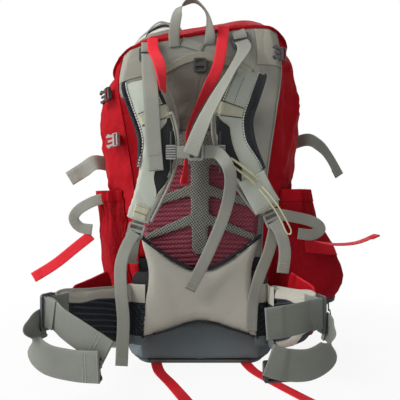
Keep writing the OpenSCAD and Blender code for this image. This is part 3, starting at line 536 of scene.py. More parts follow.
def soften(obj):
    """Round the edges of a moulded piece."""
    weld = obj.modifiers.new("weld", "WELD")
    weld.merge_threshold = 0.00001
    edge = obj.modifiers.new("edges", "BEVEL")
    edge.width = 0.6 * MM
    edge.segments = 2
    edge.limit_method = "ANGLE"
    edge.angle_limit = math.radians(40)
    edge.harden_normals = False


def coordinates(mesh):
    """A mesh's points as an array in metres."""
    found = np.empty(len(mesh.vertices) * 3)
    mesh.vertices.foreach_get("co", found)
    return found.reshape(-1, 3)


def set_coordinates(mesh, points):
    """Move a mesh's points."""
    mesh.vertices.foreach_set("co", points.reshape(-1))
    mesh.update()


def normals_of(mesh):
    """A mesh's point normals as an array."""
    found = np.empty(len(mesh.vertices) * 3)
    mesh.vertex_normals.foreach_get("vector", found)
    return found.reshape(-1, 3)


def swell(obj, pressure, cap, pinned=(), slack=0.0, frames=14):
    """Blow a piece up as cloth under pressure, and keep each point near where it began."""
    start = coordinates(obj.data)
    change = obj.modifiers.new("cloth", "CLOTH")
    settings = change.settings
    settings.quality = 5
    settings.mass = 0.2
    settings.tension_stiffness = 14
    settings.compression_stiffness = 14
    settings.shear_stiffness = 6
    settings.bending_stiffness = 0.3
    settings.air_damping = 2
    settings.use_pressure = True
    settings.uniform_pressure_force = pressure
    settings.shrink_min = -slack
    settings.effector_weights.gravity = 0
    change.collision_settings.use_collision = False
    change.collision_settings.use_self_collision = False
    change.point_cache.frame_start = 1
    change.point_cache.frame_end = frames
    if len(pinned):
        group = obj.vertex_groups.new(name="sewn")
        group.add([int(k) for k in pinned], 1.0, "REPLACE")
        settings.vertex_group_mass = "sewn"
    for step in range(1, frames + 1):
        SCENE.frame_set(step)
    shaped = obj.evaluated_get(bpy.context.evaluated_depsgraph_get())
    move = coordinates(shaped.data) - start
    obj.modifiers.remove(change)
    SCENE.frame_set(1)
    size = np.linalg.norm(move, axis=1, keepdims=True)
    set_coordinates(obj.data, start + move * np.minimum(1, cap * MM / np.maximum(size, 1e-9)))


def relax(mesh, times):
    """Even out a mesh."""
    work = bmesh.new()
    work.from_mesh(mesh)
    for _ in range(times):
        bmesh.ops.smooth_vert(work, verts=work.verts, factor=0.5, use_axis_x=True, use_axis_y=True,
                              use_axis_z=True)
    work.to_mesh(mesh)
    work.free()


def applied(obj):
    """Keep what a piece's modifiers make of it, as its own mesh."""
    shaped = bpy.data.meshes.new_from_object(obj.evaluated_get(bpy.context.evaluated_depsgraph_get()))
    old = obj.data
    obj.modifiers.clear()
    obj.data = shaped
    bpy.data.meshes.remove(old)


def even_copy(name, node, voxel, inset, times):
    """An even mesh over a CAD solid, smoothed and drawn in."""
    obj = bpy.data.objects.new(name, NODE[node].data.copy())
    SCENE.collection.objects.link(obj)
    change = obj.modifiers.new("even", "REMESH")
    change.mode = "VOXEL"
    change.voxel_size = voxel * MM
    applied(obj)
    relax(obj.data, times)
    set_coordinates(obj.data, coordinates(obj.data) - normals_of(obj.data) * inset * MM)
    return obj


def surface_of(obj):
    """A search tree over a finished piece."""
    return BVHTree.FromObject(obj, bpy.context.evaluated_depsgraph_get())


def stuffed(name, node, material, body, voxel, inset, cap, pressure=4.0, even=4, shape=None):
    """A padded piece over a CAD solid, blown up as cloth and shaped, and the search tree over it."""
    obj = even_copy(name, node, voxel, inset, even)
    swell(obj, pressure, cap)
    change = obj.modifiers.new("fine", "SUBSURF")
    change.levels = 1
    change.render_levels = 1
    applied(obj)
    if shape:
        shape(obj)
    finish_piece(obj, material, body, node)
    return obj, surface_of(obj)


def laid(tree, points, out, lift):
    """Points pressed on a surface from outside, in millimetres, and lifted off it."""
    points = np.asarray(points, float)
    flat = points.reshape(-1, 3)
    outs = np.broadcast_to(out, points.shape).reshape(-1, 3)
    result = []
    for p, n in zip(flat, outs):
        hit = tree.ray_cast(Vector((p + n * 40) * MM), Vector(-n))[0]
        result.append((np.array(hit) / MM if hit else p) + n * lift)
    return np.array(result).reshape(points.shape)


def stitches(name, line, out, material, parent, length=2.6, gap=1.0, radius=0.35):
    """A row of stitches along a line on a surface."""
    line = np.asarray(line, float)
    outs = np.broadcast_to(out, line.shape)
    run = run_of(line)
    solids = []
    at = 0.4
    while at + length < run[-1]:
        spots = at + length * np.array([0, 0.25, 0.75, 1])
        rise = np.array([-0.5, 0.2, 0.2, -0.5])[:, None]
        solids.append(tube_solid(sample(spots, run, line) + sample(spots, run, outs) * rise, radius, 5))
        at += length + gap
    return piece(name, merged(solids), material, parent)


def bar_tack(name, line, out, parent):
    """Close dark stitches that hold webbing down."""
    stitches(name, line, out, DARK_THREAD, parent, 1.6, 0.3, 0.5)


def piping(name, line, radius, material, parent, sides=8, slot=None):
    """A round bead along a seam."""
    piece(name, tube_solid(line, radius, sides), material, parent, slot=slot)


def bead_on(name, tree, line, out, radius, lift, material, parent):
    """A bead pressed on a finished surface along a line."""
    piping(name, laid(tree, line, out, lift), radius, material, parent)


def patch(name, tree, points, out, thick, material, parent, slot=None):
    """A sewn-on piece of cloth, pressed on a finished surface."""
    solid = sheet_solid(laid(tree, points, out, thick), laid(tree, points, out, -1.0))
    return piece(name, solid, material, parent, slot=slot)


WEB_FACE = [(-1, 0), (-0.975, 0.8), (-0.93, 1), (-0.5, 0.9), (0, 0.86), (0.5, 0.9), (0.93, 1), (0.975, 0.8)]
WEB_SECTION = WEB_FACE + [(-c, -h) for c, h in WEB_FACE]
X_WAY, Y_WAY, Z_WAY = np.eye(3)


def with_way(spots, way):
    """Rows of points and their across directions."""
    spots = np.asarray(spots, float)
    return np.concatenate([spots, np.broadcast_to(way, spots.shape)], -1)


def webbing(name, rows, width=20, material=WEB_GREY, on="pack", node=None, fold=0.0, steps=10):
    """Flat webbing along rows of x, y, z and its across direction, or X, with a folded and sewn end."""
    data = smooth([[*row, 1, 0, 0] if len(row) == 3 else row for row in rows], steps)
    path = data[:, :3]
    across, out = frames_along(path, data[:, 3:6])
    run = run_of(path)
    left = run[-1] - run
    double = 1 - ramp(left, fold - 1.5, fold + 0.5) if fold else np.zeros(len(run))
    rings = []
    for c, h in WEB_SECTION:
        deep = h + np.where(h < 0, h * 2 * double, 0)
        rings.append(path + across * (c * width / 2) + out * (deep * WEB_T / 2)[:, None])
    obj = piece(name, ring_solid(np.stack(rings, 1)), material, on, node)
    uv = obj.data.uv_layers.new(name="web")
    count = len(WEB_SECTION)
    sides = np.array([c * width / 2 for c, _ in WEB_SECTION])
    corners = np.empty(len(obj.data.loops), dtype=np.int32)
    obj.data.loops.foreach_get("vertex_index", corners)
    uv.data.foreach_set("uv", np.stack([sides[corners % count], run[corners // count]], -1).reshape(-1))
    for back in (fold - 3, fold - 6, 3) if fold else ():
        i = int(np.argmin(np.abs(left - back)))
        tips = [path[i] + across[i] * c * (width / 2 - 1.5) + out[i] * (WEB_T / 2 + 0.15) for c in (-1, 1)]
        stitches(f"{name}.sewn_{int(back)}", np.linspace(tips[0], tips[1], 24), out[i],
                 RED_THREAD if material == WEB_RED else THREAD, obj)
    return obj


ZIP_PITCH = 2.2


def zip_line(name, spots, up, out, parent, wide=14.0):
    """A zip: woven tape with two rows of small teeth."""
    spots = np.asarray(spots, float)
    ups, outs = [np.broadcast_to(np.asarray(way, float), spots.shape) for way in (up, out)]
    webbing(f"{name}_tape", with_way(spots + outs * 0.5, ups), wide, WEB_DARK, parent, steps=2)
    run = run_of(spots)
    teeth = []
    for k, at in enumerate(np.arange(1, run[-1] - 1, ZIP_PITCH)):
        p, n, u = [sample(at, run, rows) for rows in (spots, outs, ups)]
        p = p + n * 1.5 + u * (0.7 if k % 2 else -0.7)
        tooth = [p - u * 1.2, p - u * 0.4 + n * 0.35, p + u * 0.4 + n * 0.35, p + u * 1.2]
        teeth.append(tube_solid(tooth, 0.6, 6))
    piece(f"{name}_teeth", merged(teeth), ZIP_TEETH, parent)


# Camera and light

camera = bpy.data.objects.new("camera", bpy.data.cameras.new("camera"))
SCENE.collection.objects.link(camera)
camera.location = (0.0, -1.05, 0.30)
camera.rotation_euler = (math.radians(90), 0, 0)
camera.data.lens = 46.6
camera.data.sensor_width = 36
SCENE.camera = camera
SCENE.view_settings.view_transform = "Standard"


def lamp(name, size, energy, place, aim):
    """A soft studio panel."""
    light = bpy.data.lights.new(name, "AREA")
    light.size = size
    light.energy = energy
    obj = bpy.data.objects.new(name, light)
    SCENE.collection.objects.link(obj)
    obj.location = place
    obj.rotation_euler = (Vector(aim) - Vector(place)).to_track_quat("-Z", "Y").to_euler()


lamp("key_panel", 1.0, 40, (-1.7, -1.2, 1.9), (0, 0, 0.35))
lamp("left_panel", 1.4, 24, (-2.2, -0.9, 0.7), (0, 0, 0.3))
lamp("fill_panel", 1.0, 4, (0.25, -1.2, 1.7), (0, -0.1, 0.4))
lamp("back_panel", 1.4, 10, (0.3, 1.8, 1.6), (0, 0, 0.4))


def seen_share(tree, whole):
    """A share that holds for what the camera sees directly or in a reflection."""
    rays = add(tree, "ShaderNodeLightPath").outputs
    seen = math_node(tree, "MAXIMUM", rays["Is Camera Ray"],
                     math_node(tree, "MAXIMUM", rays["Is Glossy Ray"], rays["Is Transmission Ray"]))
    return math_node(tree, "MULTIPLY", seen, whole)


WHITE = (1.0, 1.0, 1.0, 1.0)
world = bpy.data.worlds.new("studio")
SCENE.world = world
world.use_nodes = True
sky = world.node_tree
room = add(sky, "ShaderNodeBackground", {"Color": (0.95, 0.97, 1.0, 1.0), "Strength": 0.22})
white = add(sky, "ShaderNodeBackground", {"Color": WHITE, "Strength": 1.0})
sky_mix = add(sky, "ShaderNodeMixShader", {0: seen_share(sky, 1.0), 1: room.outputs[0], 2: white.outputs[0]})
sky.links.new(sky_mix.outputs[0], sky.nodes["World Output"].inputs["Surface"])

floor_paint = bpy.data.materials.new("studio_floor")
floor_paint.use_nodes = True
paint = floor_paint.node_tree
plain = paint.nodes["Principled BSDF"]
plain.inputs["Base Color"].default_value = (0.82, 0.82, 0.82, 1.0)
plain.inputs["Roughness"].default_value = 0.9
glow = add(paint, "ShaderNodeEmission", {"Color": WHITE, "Strength": 1.0})
far = add(paint, "ShaderNodeVectorMath", {0: add(paint, "ShaderNodeNewGeometry").outputs["Position"]},
          operation="LENGTH").outputs["Value"]
floor_mix = add(paint, "ShaderNodeMixShader", {0: seen_share(paint, remap(paint, far, 0.25, 0.8, 0.9, 1.0)),
                                               1: plain.outputs[0], 2: glow.outputs[0]})
paint.links.new(floor_mix.outputs[0], paint.nodes["Material Output"].inputs["Surface"])
floor_mesh = bpy.data.meshes.new("floor")
floor_mesh.from_pydata([(-6, -6, 0), (6, -6, 0), (6, 6, 0), (-6, 6, 0)], [], [(0, 1, 2, 3)])
floor = bpy.data.objects.new("floor", floor_mesh)
SCENE.collection.objects.link(floor)
floor_mesh.materials.append(floor_paint)


# Free cords of the pole stow

def cord_piece(name, rows, diameter, node):
    """A free elastic cord along points in millimetres."""
    curve = bpy.data.curves.new(name, "CURVE")
    curve.dimensions = "3D"
    curve.bevel_depth = diameter / 2 * MM
    curve.bevel_resolution = 3
    curve.use_fill_caps = True
    path = smooth(rows, 3)
    spline = curve.splines.new("POLY")
    spline.points.add(len(path) - 1)
    for point, p in zip(spline.points, path):
        point.co = (*(p * MM), 1)
    obj = bpy.data.objects.new(name, curve)
    SCENE.collection.objects.link(obj)
    curve.materials.append(ELASTIC)
    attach(obj, "pack")
    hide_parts(node)


TIE_ROUTE = [[96, -206.2, 318], [104, -212, 308], [113, -213, 296], [121, -213, 284], [128, -213, 272],
             [134, -213, 260], [138, -213, 251], [142, -212, 245], [147, -212, 246], [147, -213, 252],
             [142, -215, 262], [135, -217, 275], [127, -218, 288], [118, -217, 301], [109, -215, 312],
             [101, -211, 322]]
STOW_ROUTE = [[50, -209.6, 368], [60, -212, 361], [72, -212.6, 352], [84, -211.6, 343], [95, -208, 333]]
cord_piece("tie_cord_loop", TIE_ROUTE, 2.4, "tie_cord")
for k in (0, 1):
    route = [[x - 5.6 * k, y, z - 7 * k] for x, y, z in STOW_ROUTE]
    cord_piece(f"stow_elastic_{k + 1}", route, 4.0, "stow_loops")


# Bag body: one cloth shell, sewn at its seams, split into its panels

PANELS = (("rear", 28, "rear_panel"), ("right", 40, "side_panel_right"), ("front", 40, "front_panel"),
          ("left", 40, "side_panel_left"))
SEAMS = (("rear_left", RED), ("rear_right", GREY), ("front_right", RED), ("front_left", RED))
SEWN_SPOTS = [(0.88, 218), (0.7, 230), (0.93, -52), (0.65, 168), (0.71, 16)]
FRONT_CORNERS = (40.0, 140.0)
SEWN_REACH = 28
FOLD_DEEP = 15
FOLD_MOST = 7
LEVELS = 77
SLATE_LEVELS = 7
CLOTH_T = 2.6
SEAM_R = 1.3


def bag_shell():
    """The bag's shell: shares of height by level, angles, and each column's panel and place in it."""
    share = np.linspace(0, 1, LEVELS)
    half = bag_row(share)[2]
    corners = [np.full(LEVELS, angle) for angle in FRONT_CORNERS]
    edges = np.stack([-90 - half, -90 + half, *corners, 270 - half])
    angle, panel, part = [], [], []
    for k, (_, count, _) in enumerate(PANELS):
        for t in np.arange(count) / count:
            angle.append(edges[k] + (edges[k + 1] - edges[k]) * t)
            panel.append(k)
            part.append(t)
    return share, np.array(angle).T, np.array(panel), np.array(part)


def make_bag():
    """The bag's shell, blown up between its seams, with folds in its sides."""
    share, angle, panel, part = bag_shell()
    columns = len(panel)
    crown = np.where(panel == 0, 0, np.sin(np.pi * part) ** 0.5)
    level = np.sin(np.pi * share) ** 0.35
    out = -4.0 * crown[None] * level[:, None] - 1.0 * (panel > 0)[None]
    points = bag_point(share[:, None], angle, out)
    shell = piece("bag_shell", (points.reshape(-1, 3), grid_faces(LEVELS, columns, True)), RED, "pack")
    pins = [i * columns + j for i in range(LEVELS) for j in range(columns)
            if i in (0, LEVELS - 1) or panel[j] == 0 or part[j] == 0]
    swell(shell, 2.5, 6.5, pins, slack=0.035, frames=18)
    grid = coordinates(shell.data).reshape(LEVELS, columns, 3) / MM
    bpy.data.objects.remove(shell)
    loose = np.where((panel == 1) | (panel == 3), ramp(np.minimum(part, 1 - part), 0.02, 0.2), 0)
    folds = np.abs(lumps(grid * [1, 1, 0.3], 0.022, 31.0))
    folds += 0.4 * np.abs(lumps(grid * [1, 1, 0.6], 0.05, 8.0))
    held = np.ones(grid.shape[:2])
    for spot in SEWN_SPOTS:
        held *= 1 - np.exp(-np.sum((grid - bag_point(*spot, 0)) ** 2, -1) / SEWN_REACH ** 2)
    ends = (ramp(share, 0.03, 0.2) * ramp(1 - share, 0.02, 0.12))[:, None]
    deep = FOLD_DEEP * folds * loose[None] * ends * held
    out = bag_normal(share[:, None], angle)
    return grid - out * np.minimum(deep, FOLD_MOST)[..., None], out


def make_panels():
    """Split the shell at its seams and give each panel its thickness."""
    grid, out = make_bag()
    made = {}
    starts = [0]
    for name, count, node in PANELS:
        wanted = np.arange(starts[-1], starts[-1] + count + 1) % grid.shape[1]
        outer = grid[:, wanted]
        solid = sheet_solid(outer, outer - out[:, wanted] * CLOTH_T)
        made[name] = piece(f"{name}_panel_cloth", solid, GREY if name == "rear" else RED, "pack", node)
        starts.append(starts[-1] + count)
    for column, (name, material) in zip(starts, SEAMS):
        seam = grid[:, column] + out[:, column] * 0.6
        low = SLATE_LEVELS if "rear" in name else 0
        piping(f"{name}_seam", seam[low:], SEAM_R, material, made["front"])
        if low:
            piping(f"{name}_low_seam", seam[:low + 1], SEAM_R, SLATE, made["front"])
    rim = np.concatenate([grid[-1], grid[-1, :1]])
    piping("rim_binding", rim - [0, 0, 1.0], 1.4, RED, made["front"])
    return made


panels = make_panels()
bag_tree = {name: surface_of(obj) for name, obj in panels.items()}


def make_base():
    """The base: a cloth disc with a bound edge."""
    ring = bag_point(0, np.arange(0, 360, 5.0), 0)
    rings = [ring * [k, k, 0] + [0, 0, z] for k, z in (
        (0.995, 0.4), (1.0, 1.5), (0.995, 2.8), (0.9, 3.0), (0.5, 2.6), (0.05, 2.4))]
    rings = [rings[0] * [0.05, 0.05, 1] + [0, 0, 0.2], rings[0] * [0.6, 0.6, 1], *rings]
    base = piece("base_cloth", ring_solid(rings), SLATE, "pack", "base_panel")
    edge = bag_point(0.008, np.arange(0, 361, 5.0), 0.3)
    piping("base_binding", edge, 1.8, BINDING, base, slot="slate_fabric")


make_base()


def rear_patch(name, edges, material):
    """A sewn patch on the rear panel, by rows of a height share and the width shares of its two edges."""
    rows = np.array(edges, float)
    share = np.linspace(rows[0, 0], rows[-1, 0], 24)
    low, high = [np.interp(share, rows[:, 0], rows[:, c])[:, None] for c in (1, 2)]
    side = low + (high - low) * np.linspace(0, 1, 14)[None]
    half = bag_row(share)[2][:, None]
    spots = bag_point(share[:, None], -90 - half + 2 * half * side, 0)
    outer = spots + [0, -0.22, 0]
    made = piece(name, sheet_solid(outer, spots + [0, 1.0, 0]), material, panels["rear"])
    for line, tag in ((outer[0], "low"), (outer[:, 0 if rows[0, 1] > 0.5 else -1], "side")):
        stitches(f"{name}.{tag}", line + [0, -0.1, 0], (0, -1, 0), DARK_THREAD, made, 3.0, 1.2)


rear_patch("corner_patch_left", [[0.895, 0.01, 0.27], [0.995, 0.01, 0.27]], PALE)
rear_patch("corner_patch_right", [[0.895, 0.74, 0.99], [0.995, 0.74, 0.99]], PALE)
rear_patch("side_return_left", [[0.32, 0, 0.12], [0.6, 0, 0.14], [0.78, 0, 0.13], [0.86, 0, 0.01]], RED)
# Near-black patches in the gaps beside the lumbar pad, where the belt meets the bag: painted shade
rear_patch("belt_gap_shade_left", [[0.16, 0, 0.2], [0.29, 0, 0.18], [0.325, 0, 0.1]], NAVY)
rear_patch("belt_gap_shade_right", [[0.16, 0.8, 1], [0.29, 0.82, 1], [0.325, 0.9, 1]], NAVY)

# Slate cloth round the bag's foot, by the angles where each part of it starts and ends
BOOT_SIDES = {"left": (236, 139), "right": (-56, 41), "front": (39, 141)}
BOOT_HIGH = 0.07
BOOT_T = 2.2
for tag, (low, high) in BOOT_SIDES.items():
    share, angle = np.broadcast_arrays(np.linspace(0.0, BOOT_HIGH, 10)[:, None], np.linspace(low, high, 60))
    spots = bag_point(share, angle, 0)
    out = bag_normal(share, angle)
    boot = patch(f"boot_{tag}", bag_tree[tag], spots, out, BOOT_T, SLATE, panels[tag])
    line = laid(bag_tree[tag], spots[-2], out[-2], BOOT_T + 0.1)
    stitches(f"boot_{tag}_sewn", line, out[-2], DARK_THREAD, boot)


# Lid

LID_OVER = 4
LID_HIGH = 62
LID_GAP = 0.72
LID_CROWN = 0.97 * LID_HIGH
LID_WEDGE = 100
LID_TURN = np.arange(0, 360, 3.0)


def lid_rise(x, y, rise):
    """Height of the lid at a place, for a wedge of stuffing that thins out to the back."""
    return BAG_H + rim_shift(x, y) + LID_GAP + rise * np.minimum(1, 0.04 + 0.96 * (y + BAG_BACK) / LID_WEDGE)


def lid_top(x, y):
    """Height of the lid's crown at a place on it."""
    return lid_rise(x, y, LID_CROWN)


def lid_ring(draw, rise):
    """A ring of the lid: the bag's rim drawn in, and lifted by its stuffing."""
    rim = bag_point(1.0, LID_TURN, LID_OVER)
    middle = (BAG_FRONT * bag_row(1)[1] - BAG_BACK) / 2
    x = rim[:, 0] * draw
    y = np.maximum(middle + (rim[:, 1] - middle) * draw, -BAG_BACK)
    return np.stack([x, y, lid_rise(x, y, rise)], -1)


def make_lid_lining(lid):
    """Grey lining under the lid, with the zip of its inside pocket."""
    steps = ((0.94, 0.2), (0.94, 1.6), (0.7, 2), (0.4, 2), (0.05, 2))
    rings = [lid_ring(draw, 0) - [0, 0, down] for draw, down in steps]
    lining = piece("lid_lining", ring_solid(rings), GREY, lid)
    x = np.linspace(-96, 96, 50)
    y = np.full(50, 34.0)
    zip_line("lid_lining_zip", np.stack([x, y, BAG_H + rim_shift(x, y) - 1.2], -1), Y_WAY, -Z_WAY, lining)


def make_lid():
    """The stuffed lid with its bound lower edge."""
    steep = np.radians(np.linspace(0, 77, 24))
    rings = [lid_ring(math.cos(q) ** 0.45, LID_HIGH * math.sin(q)) for q in steep]
    rings += [lid_ring(draw, LID_HIGH * 0.985) for draw in np.linspace(0.47, 0.05, 13)]
    rings = np.array(rings)
    level = ramp(np.arange(len(rings)) / len(rings), 0.0, 0.3)[:, None]
    rings[..., 2] += level * (3.2 * lumps(rings, 0.016, 21.0) - 3.0 * np.abs(lumps(rings, 0.03, 5.0)))
    lid = piece("lid_cloth", ring_solid(rings), RED, "lid", "lid")
    columns = len(LID_TURN)
    sewn = list(range(columns)) + list(range(columns * (len(rings) - 4), columns * len(rings)))
    swell(lid, 3.0, 4.0, sewn, slack=0.02)
    make_lid_lining(lid)
    edge = bag_point(1.0, np.arange(0, 361, 4.0), 1.0) + [0, 0, 1.6]
    edge[:, 1] = np.maximum(edge[:, 1], -BAG_BACK + 0.5)
    piping("lid_binding", edge, 2.1, RED, lid)
    return lid


lid = make_lid()


def make_lid_hump():
    """The grey stuffed end of the lid with a pale band along its rear edge."""
    side = np.linspace(0, 1, 49)[None]
    back = np.linspace(0, 1, 41)[:, None]
    x = -84 + 48 * (2 * side - 1) * np.sqrt(1 - 0.3 * (2 * back - 1) ** 2)
    y = -10 + 42 * (2 * back - 1) * np.sqrt(1 - 0.3 * (2 * side - 1) ** 2)
    rise = 22 * (np.sin(np.pi * side ** 1.4) ** 0.7) * (np.sin(np.pi * back) ** 0.55)
    crease = 1.4 * lumps(np.stack([x, y, 0 * x], -1), 0.03, 12.0)
    crease *= np.sin(np.pi * back) * np.sin(np.pi * side)
    crown = np.stack([x, y, lid_top(x, y)], -1)
    ground = laid(surface_of(lid), crown, Z_WAY, 0)
    inside = ramp(np.minimum(np.minimum(side, 1 - side), np.minimum(back, 1 - back)), 0, 0.25)
    outer = ground + (crown - ground) * inside[..., None]
    outer[..., 2] += rise + crease + 0.2
    hump = piece("lid_hump", sheet_solid(outer, ground - [0, 0, 3.0]), GREY, "lid")
    band = outer[1:6] + [0, -0.8, 0.6]
    piece("lid_hump_band", sheet_solid(band, band + [0, 1.2, -0.9]), WHITE_THREAD, hump)
    stitches("lid_hump_sewn", band[-1] + [0, -0.2, 0.2], (0, -0.6, 0.8), DARK_THREAD, hump)


make_lid_hump()
webbing("lid_grab_loop", [[x, -40, lid_top(x, -40) + up, 0, 1, 0.46] for x, up in (
    (-106, 1.4), (-98, 17), (-78, 27), (-58, 17), (-50, 0.4))], on="lid", node="lid_loop")
webbing("haul_loop_web", [[-46, Y_WEB - 0.6, 581, 1, 0, 0.2], [-47, -108, 604, 0.95, -0.2, 0.2],
                          [-38, -124, 638, 0.7, -0.6, 0.3], [-13, -132, 654, 0, -1, 0.1],
                          [11, -126, 636, 0.1, -1, -0.2], [18, -114, 610, 0.6, -0.7, 0],
                          [18, Y_WEB - 0.64, 586, 1, 0, 0.1]], on="haul", node="haul_loop")
webbing("haul_base_web", [[-33, Y_WEB - 0.25, 591, 0.3, 0, 1], [-14, Y_WEB - 0.4, 586, 0.3, 0, 1],
                          [5, Y_WEB - 0.25, 578, 0.4, 0, 1]], 17, fold=9)


# Hydration sleeve

def make_sleeve():
    """A slack creased panel with a hem along its peaked top."""
    share = np.linspace(0, 1, 61)
    low = smooth([[-92, 432], [-40, 428], [40, 428], [92, 432]], 20)
    high = smooth([[-96, 528], [-72, 541], [-8, 572], [64, 558], [96, 540]], 15)
    low, high = [sample(share, np.linspace(0, 1, len(edge)), edge) for edge in (low, high)]
    up = np.linspace(0, 1, 41)[:, None, None]
    flat = low[None] * (1 - up) + high[None] * up
    spots = np.stack([flat[..., 0], np.zeros(flat.shape[:2]), flat[..., 1]], -1)
    held = np.minimum(ramp(share, 0, 0.12), ramp(1 - share, 0, 0.12))[None] * ramp(up[..., 0], 0, 0.15)
    folds = np.abs(lumps(spots * [1.0, 1, 1.6] + spots[..., ::-1] * [0.7, 0, 0], 0.018, 3.0))
    deep = held * (1.3 - 3.4 * folds + 0.5 * lumps(spots, 0.05, 9.0))
    outer = spots + [0, Y_SEAT - 1.9, 0]
    outer[..., 1] -= np.clip(deep, -1.2, 1.4)
    sleeve = piece("hydration_sleeve_cloth", sheet_solid(outer, outer + [0, 1.5, 0]), SLEEVE, "pack",
                   "hydration_sleeve")
    hem = outer[-6:]
    hem_out = hem + [0, -0.7, 0]
    piece("sleeve_hem", sheet_solid(hem_out, hem + [0, 0.4, 0]), HEM, sleeve)
    stitches("sleeve_hem_sewn", hem_out[0] + [0, -0.1, 1.0], (0, -1, 0), DARK_THREAD, sleeve)


make_sleeve()


# Ridged back pad and the mesh spine over it

BACK_SIDE = smooth([[-70, 176], [-104, 240], [-98, 315], [-56, 372], [-44, 418]], 12)
BACK_LOW, BACK_HIGH = 177, 417
RIDGE_PITCH = 8.5


def make_back_pad():
    """Foam with rounded level ridges."""
    z = np.linspace(BACK_LOW, BACK_HIGH, 181)[:, None]
    half = -np.interp(z, BACK_SIDE[:, 1], BACK_SIDE[:, 0]) - 0.5
    side = np.linspace(-1, 1, 65)[None]
    x = half * side
    edge = ramp(1 - np.abs(side), 0, 0.08)
    end = np.minimum(ramp(z, BACK_LOW, BACK_LOW + 6), ramp(-z, -BACK_HIGH, 6 - BACK_HIGH))
    ridge = np.abs(np.sin(np.pi * (z + 0.05 * np.abs(x)) / RIDGE_PITCH)) ** 0.6
    y = Y_PAD + 7.0 - 7.0 * edge * end + 3.2 * (1 - ridge)
    outer = np.stack(np.broadcast_arrays(x, y, z), -1)
    inner = outer.copy()
    inner[..., 1] = Y_SEAT - 0.1
    pad = piece("ridged_back_pad", sheet_solid(outer, inner), MAROON, "pack", "back_pad")


make_back_pad()
finish_piece(even_copy("spine_mesh_frame", "spine_mesh", 2.0, -0.2, 7), SPINE, "pack", "spine_mesh")


# Lumbar pad and the slate panel below it

LUMBAR_EDGES = (("top", -5, [[-110, 240], [-62, 206], [0, 180], [62, 206], [110, 240]]),
                ("low", 4, [[-106, 54], [-60, 66], [0, 82], [60, 68], [106, 54]]))


def make_lumbar():
    """The crowned lumbar pad with bound edges, and the panel below it."""
    pad, tree = stuffed("lumbar_cushion", "lumbar_pad", LUMBAR, "pack", 5.0, 2.4, 3.0, 5.0, even=3)
    for name, up, rows in LUMBAR_EDGES:
        line = smooth(rows, 14)
        spots = np.stack([line[:, 0] * 0.97, np.full(len(line), Y_LUMBAR), line[:, 1] + up], -1)
        bead_on(f"lumbar_{name}_binding", tree, spots, -Y_WAY, 1.9, -0.3, NAVY, pad)
        if name == "top":
            bead_on("lumbar_top_lining", tree, spots + [0, 0, 3], -Y_WAY, 2.4, -1.2, NAVY, pad)
    stuffed("slate_panel_cloth", "slate_panel", SLATE, "pack", 4.0, 0.6, 1.2, 3.0)


make_lumbar()


# Shoulder straps

STRAP_LEFT = [
    [-64, 0, 440, 1, 0, 0, 58, 1], [-70, -16, 472, 1, 0, 0.05, 58, 1],
    [-88, -46, 499, 0.97, 0.05, 0.2, 62, 1], [-100, -74, 494, 0.95, 0.1, 0.2, 64, 1],
    [-88, -91, 462, 0.97, 0, 0.25, 68, 1], [-72, -93, 420, 0.99, 0, 0.12, 70, 1],
    [-67, -93, 384, 1, 0, 0, 70, 1], [-74, -90, 346, 0.98, 0, -0.2, 64, 0.95],
    [-86, -84, 311, 0.96, 0, -0.3, 56, 0.9], [-98, -78, 280, 0.95, 0, -0.3, 48, 0.8],
    [-104, -74, 262, 0.95, 0, -0.25, 44, 0.7]]
STRAP_RIGHT = [
    [62, 0, 452, 1, 0, 0, 58, 1], [68, -16, 486, 1, 0, -0.05, 58, 1],
    [78, -46, 515, 0.97, -0.05, -0.2, 62, 1], [80, -76, 508, 0.95, -0.1, -0.2, 64, 1],
    [66, -91, 474, 0.97, 0, -0.25, 68, 1], [53, -93, 434, 0.99, 0, -0.1, 70, 1],
    [57, -93, 392, 1, 0, 0.12, 70, 1], [74, -90, 353, 0.95, 0, 0.4, 64, 0.95],
    [94, -84, 318, 0.9, 0, 0.5, 56, 0.9], [110, -78, 292, 0.9, 0, 0.45, 48, 0.8],
    [116, -75, 280, 0.92, 0, 0.4, 44, 0.7]]
STRAP_STEPS = 20
STRAP_T = 14
STRAP_ROOT = -108.6
STRAP_REACH = 93.5 / 93
TOP_MESH_ROW = 2.7
TOP_MESH_EDGE = 0.64
MESH_RIM = 0.985
BINDING_END = 9.4
PANEL_EDGE = 0.78
POINT_FROM = 0.72
POINT_SIDES = (0.5, 0.55)
TAB_ROWS = (8.55, 9.5)
TAB_SEAMS = (8.65, 9.0, 9.05)
DOTS = (2.4, 2.2, 1.15)


def strap_spots(rows, at, side):
    """Spots on a strap's face, by row number and by share of its half width, and their out directions."""
    data = smooth(rows, STRAP_STEPS)
    path = data[:, :3].copy()
    path[:, 1] = STRAP_ROOT + data[:, 1] * STRAP_REACH
    ways = frames_along(path, data[:, 3:6])
    at, side = np.broadcast_arrays(np.asarray(at, float), np.asarray(side, float))
    steps = np.arange(len(path)) / STRAP_STEPS
    spot, across, out = [sample(at, steps, v) for v in (path, *ways)]
    half = np.interp(at, steps, data[:, 6]) / 2
    round_off = (1 - np.abs(np.clip(side, -0.999, 0.999)) ** 3.33) ** 0.3
    deep = np.interp(at, steps, data[:, 7] * STRAP_T) / 2 * round_off
    return spot + across * (half * side)[..., None] + out * deep[..., None], unit(out)


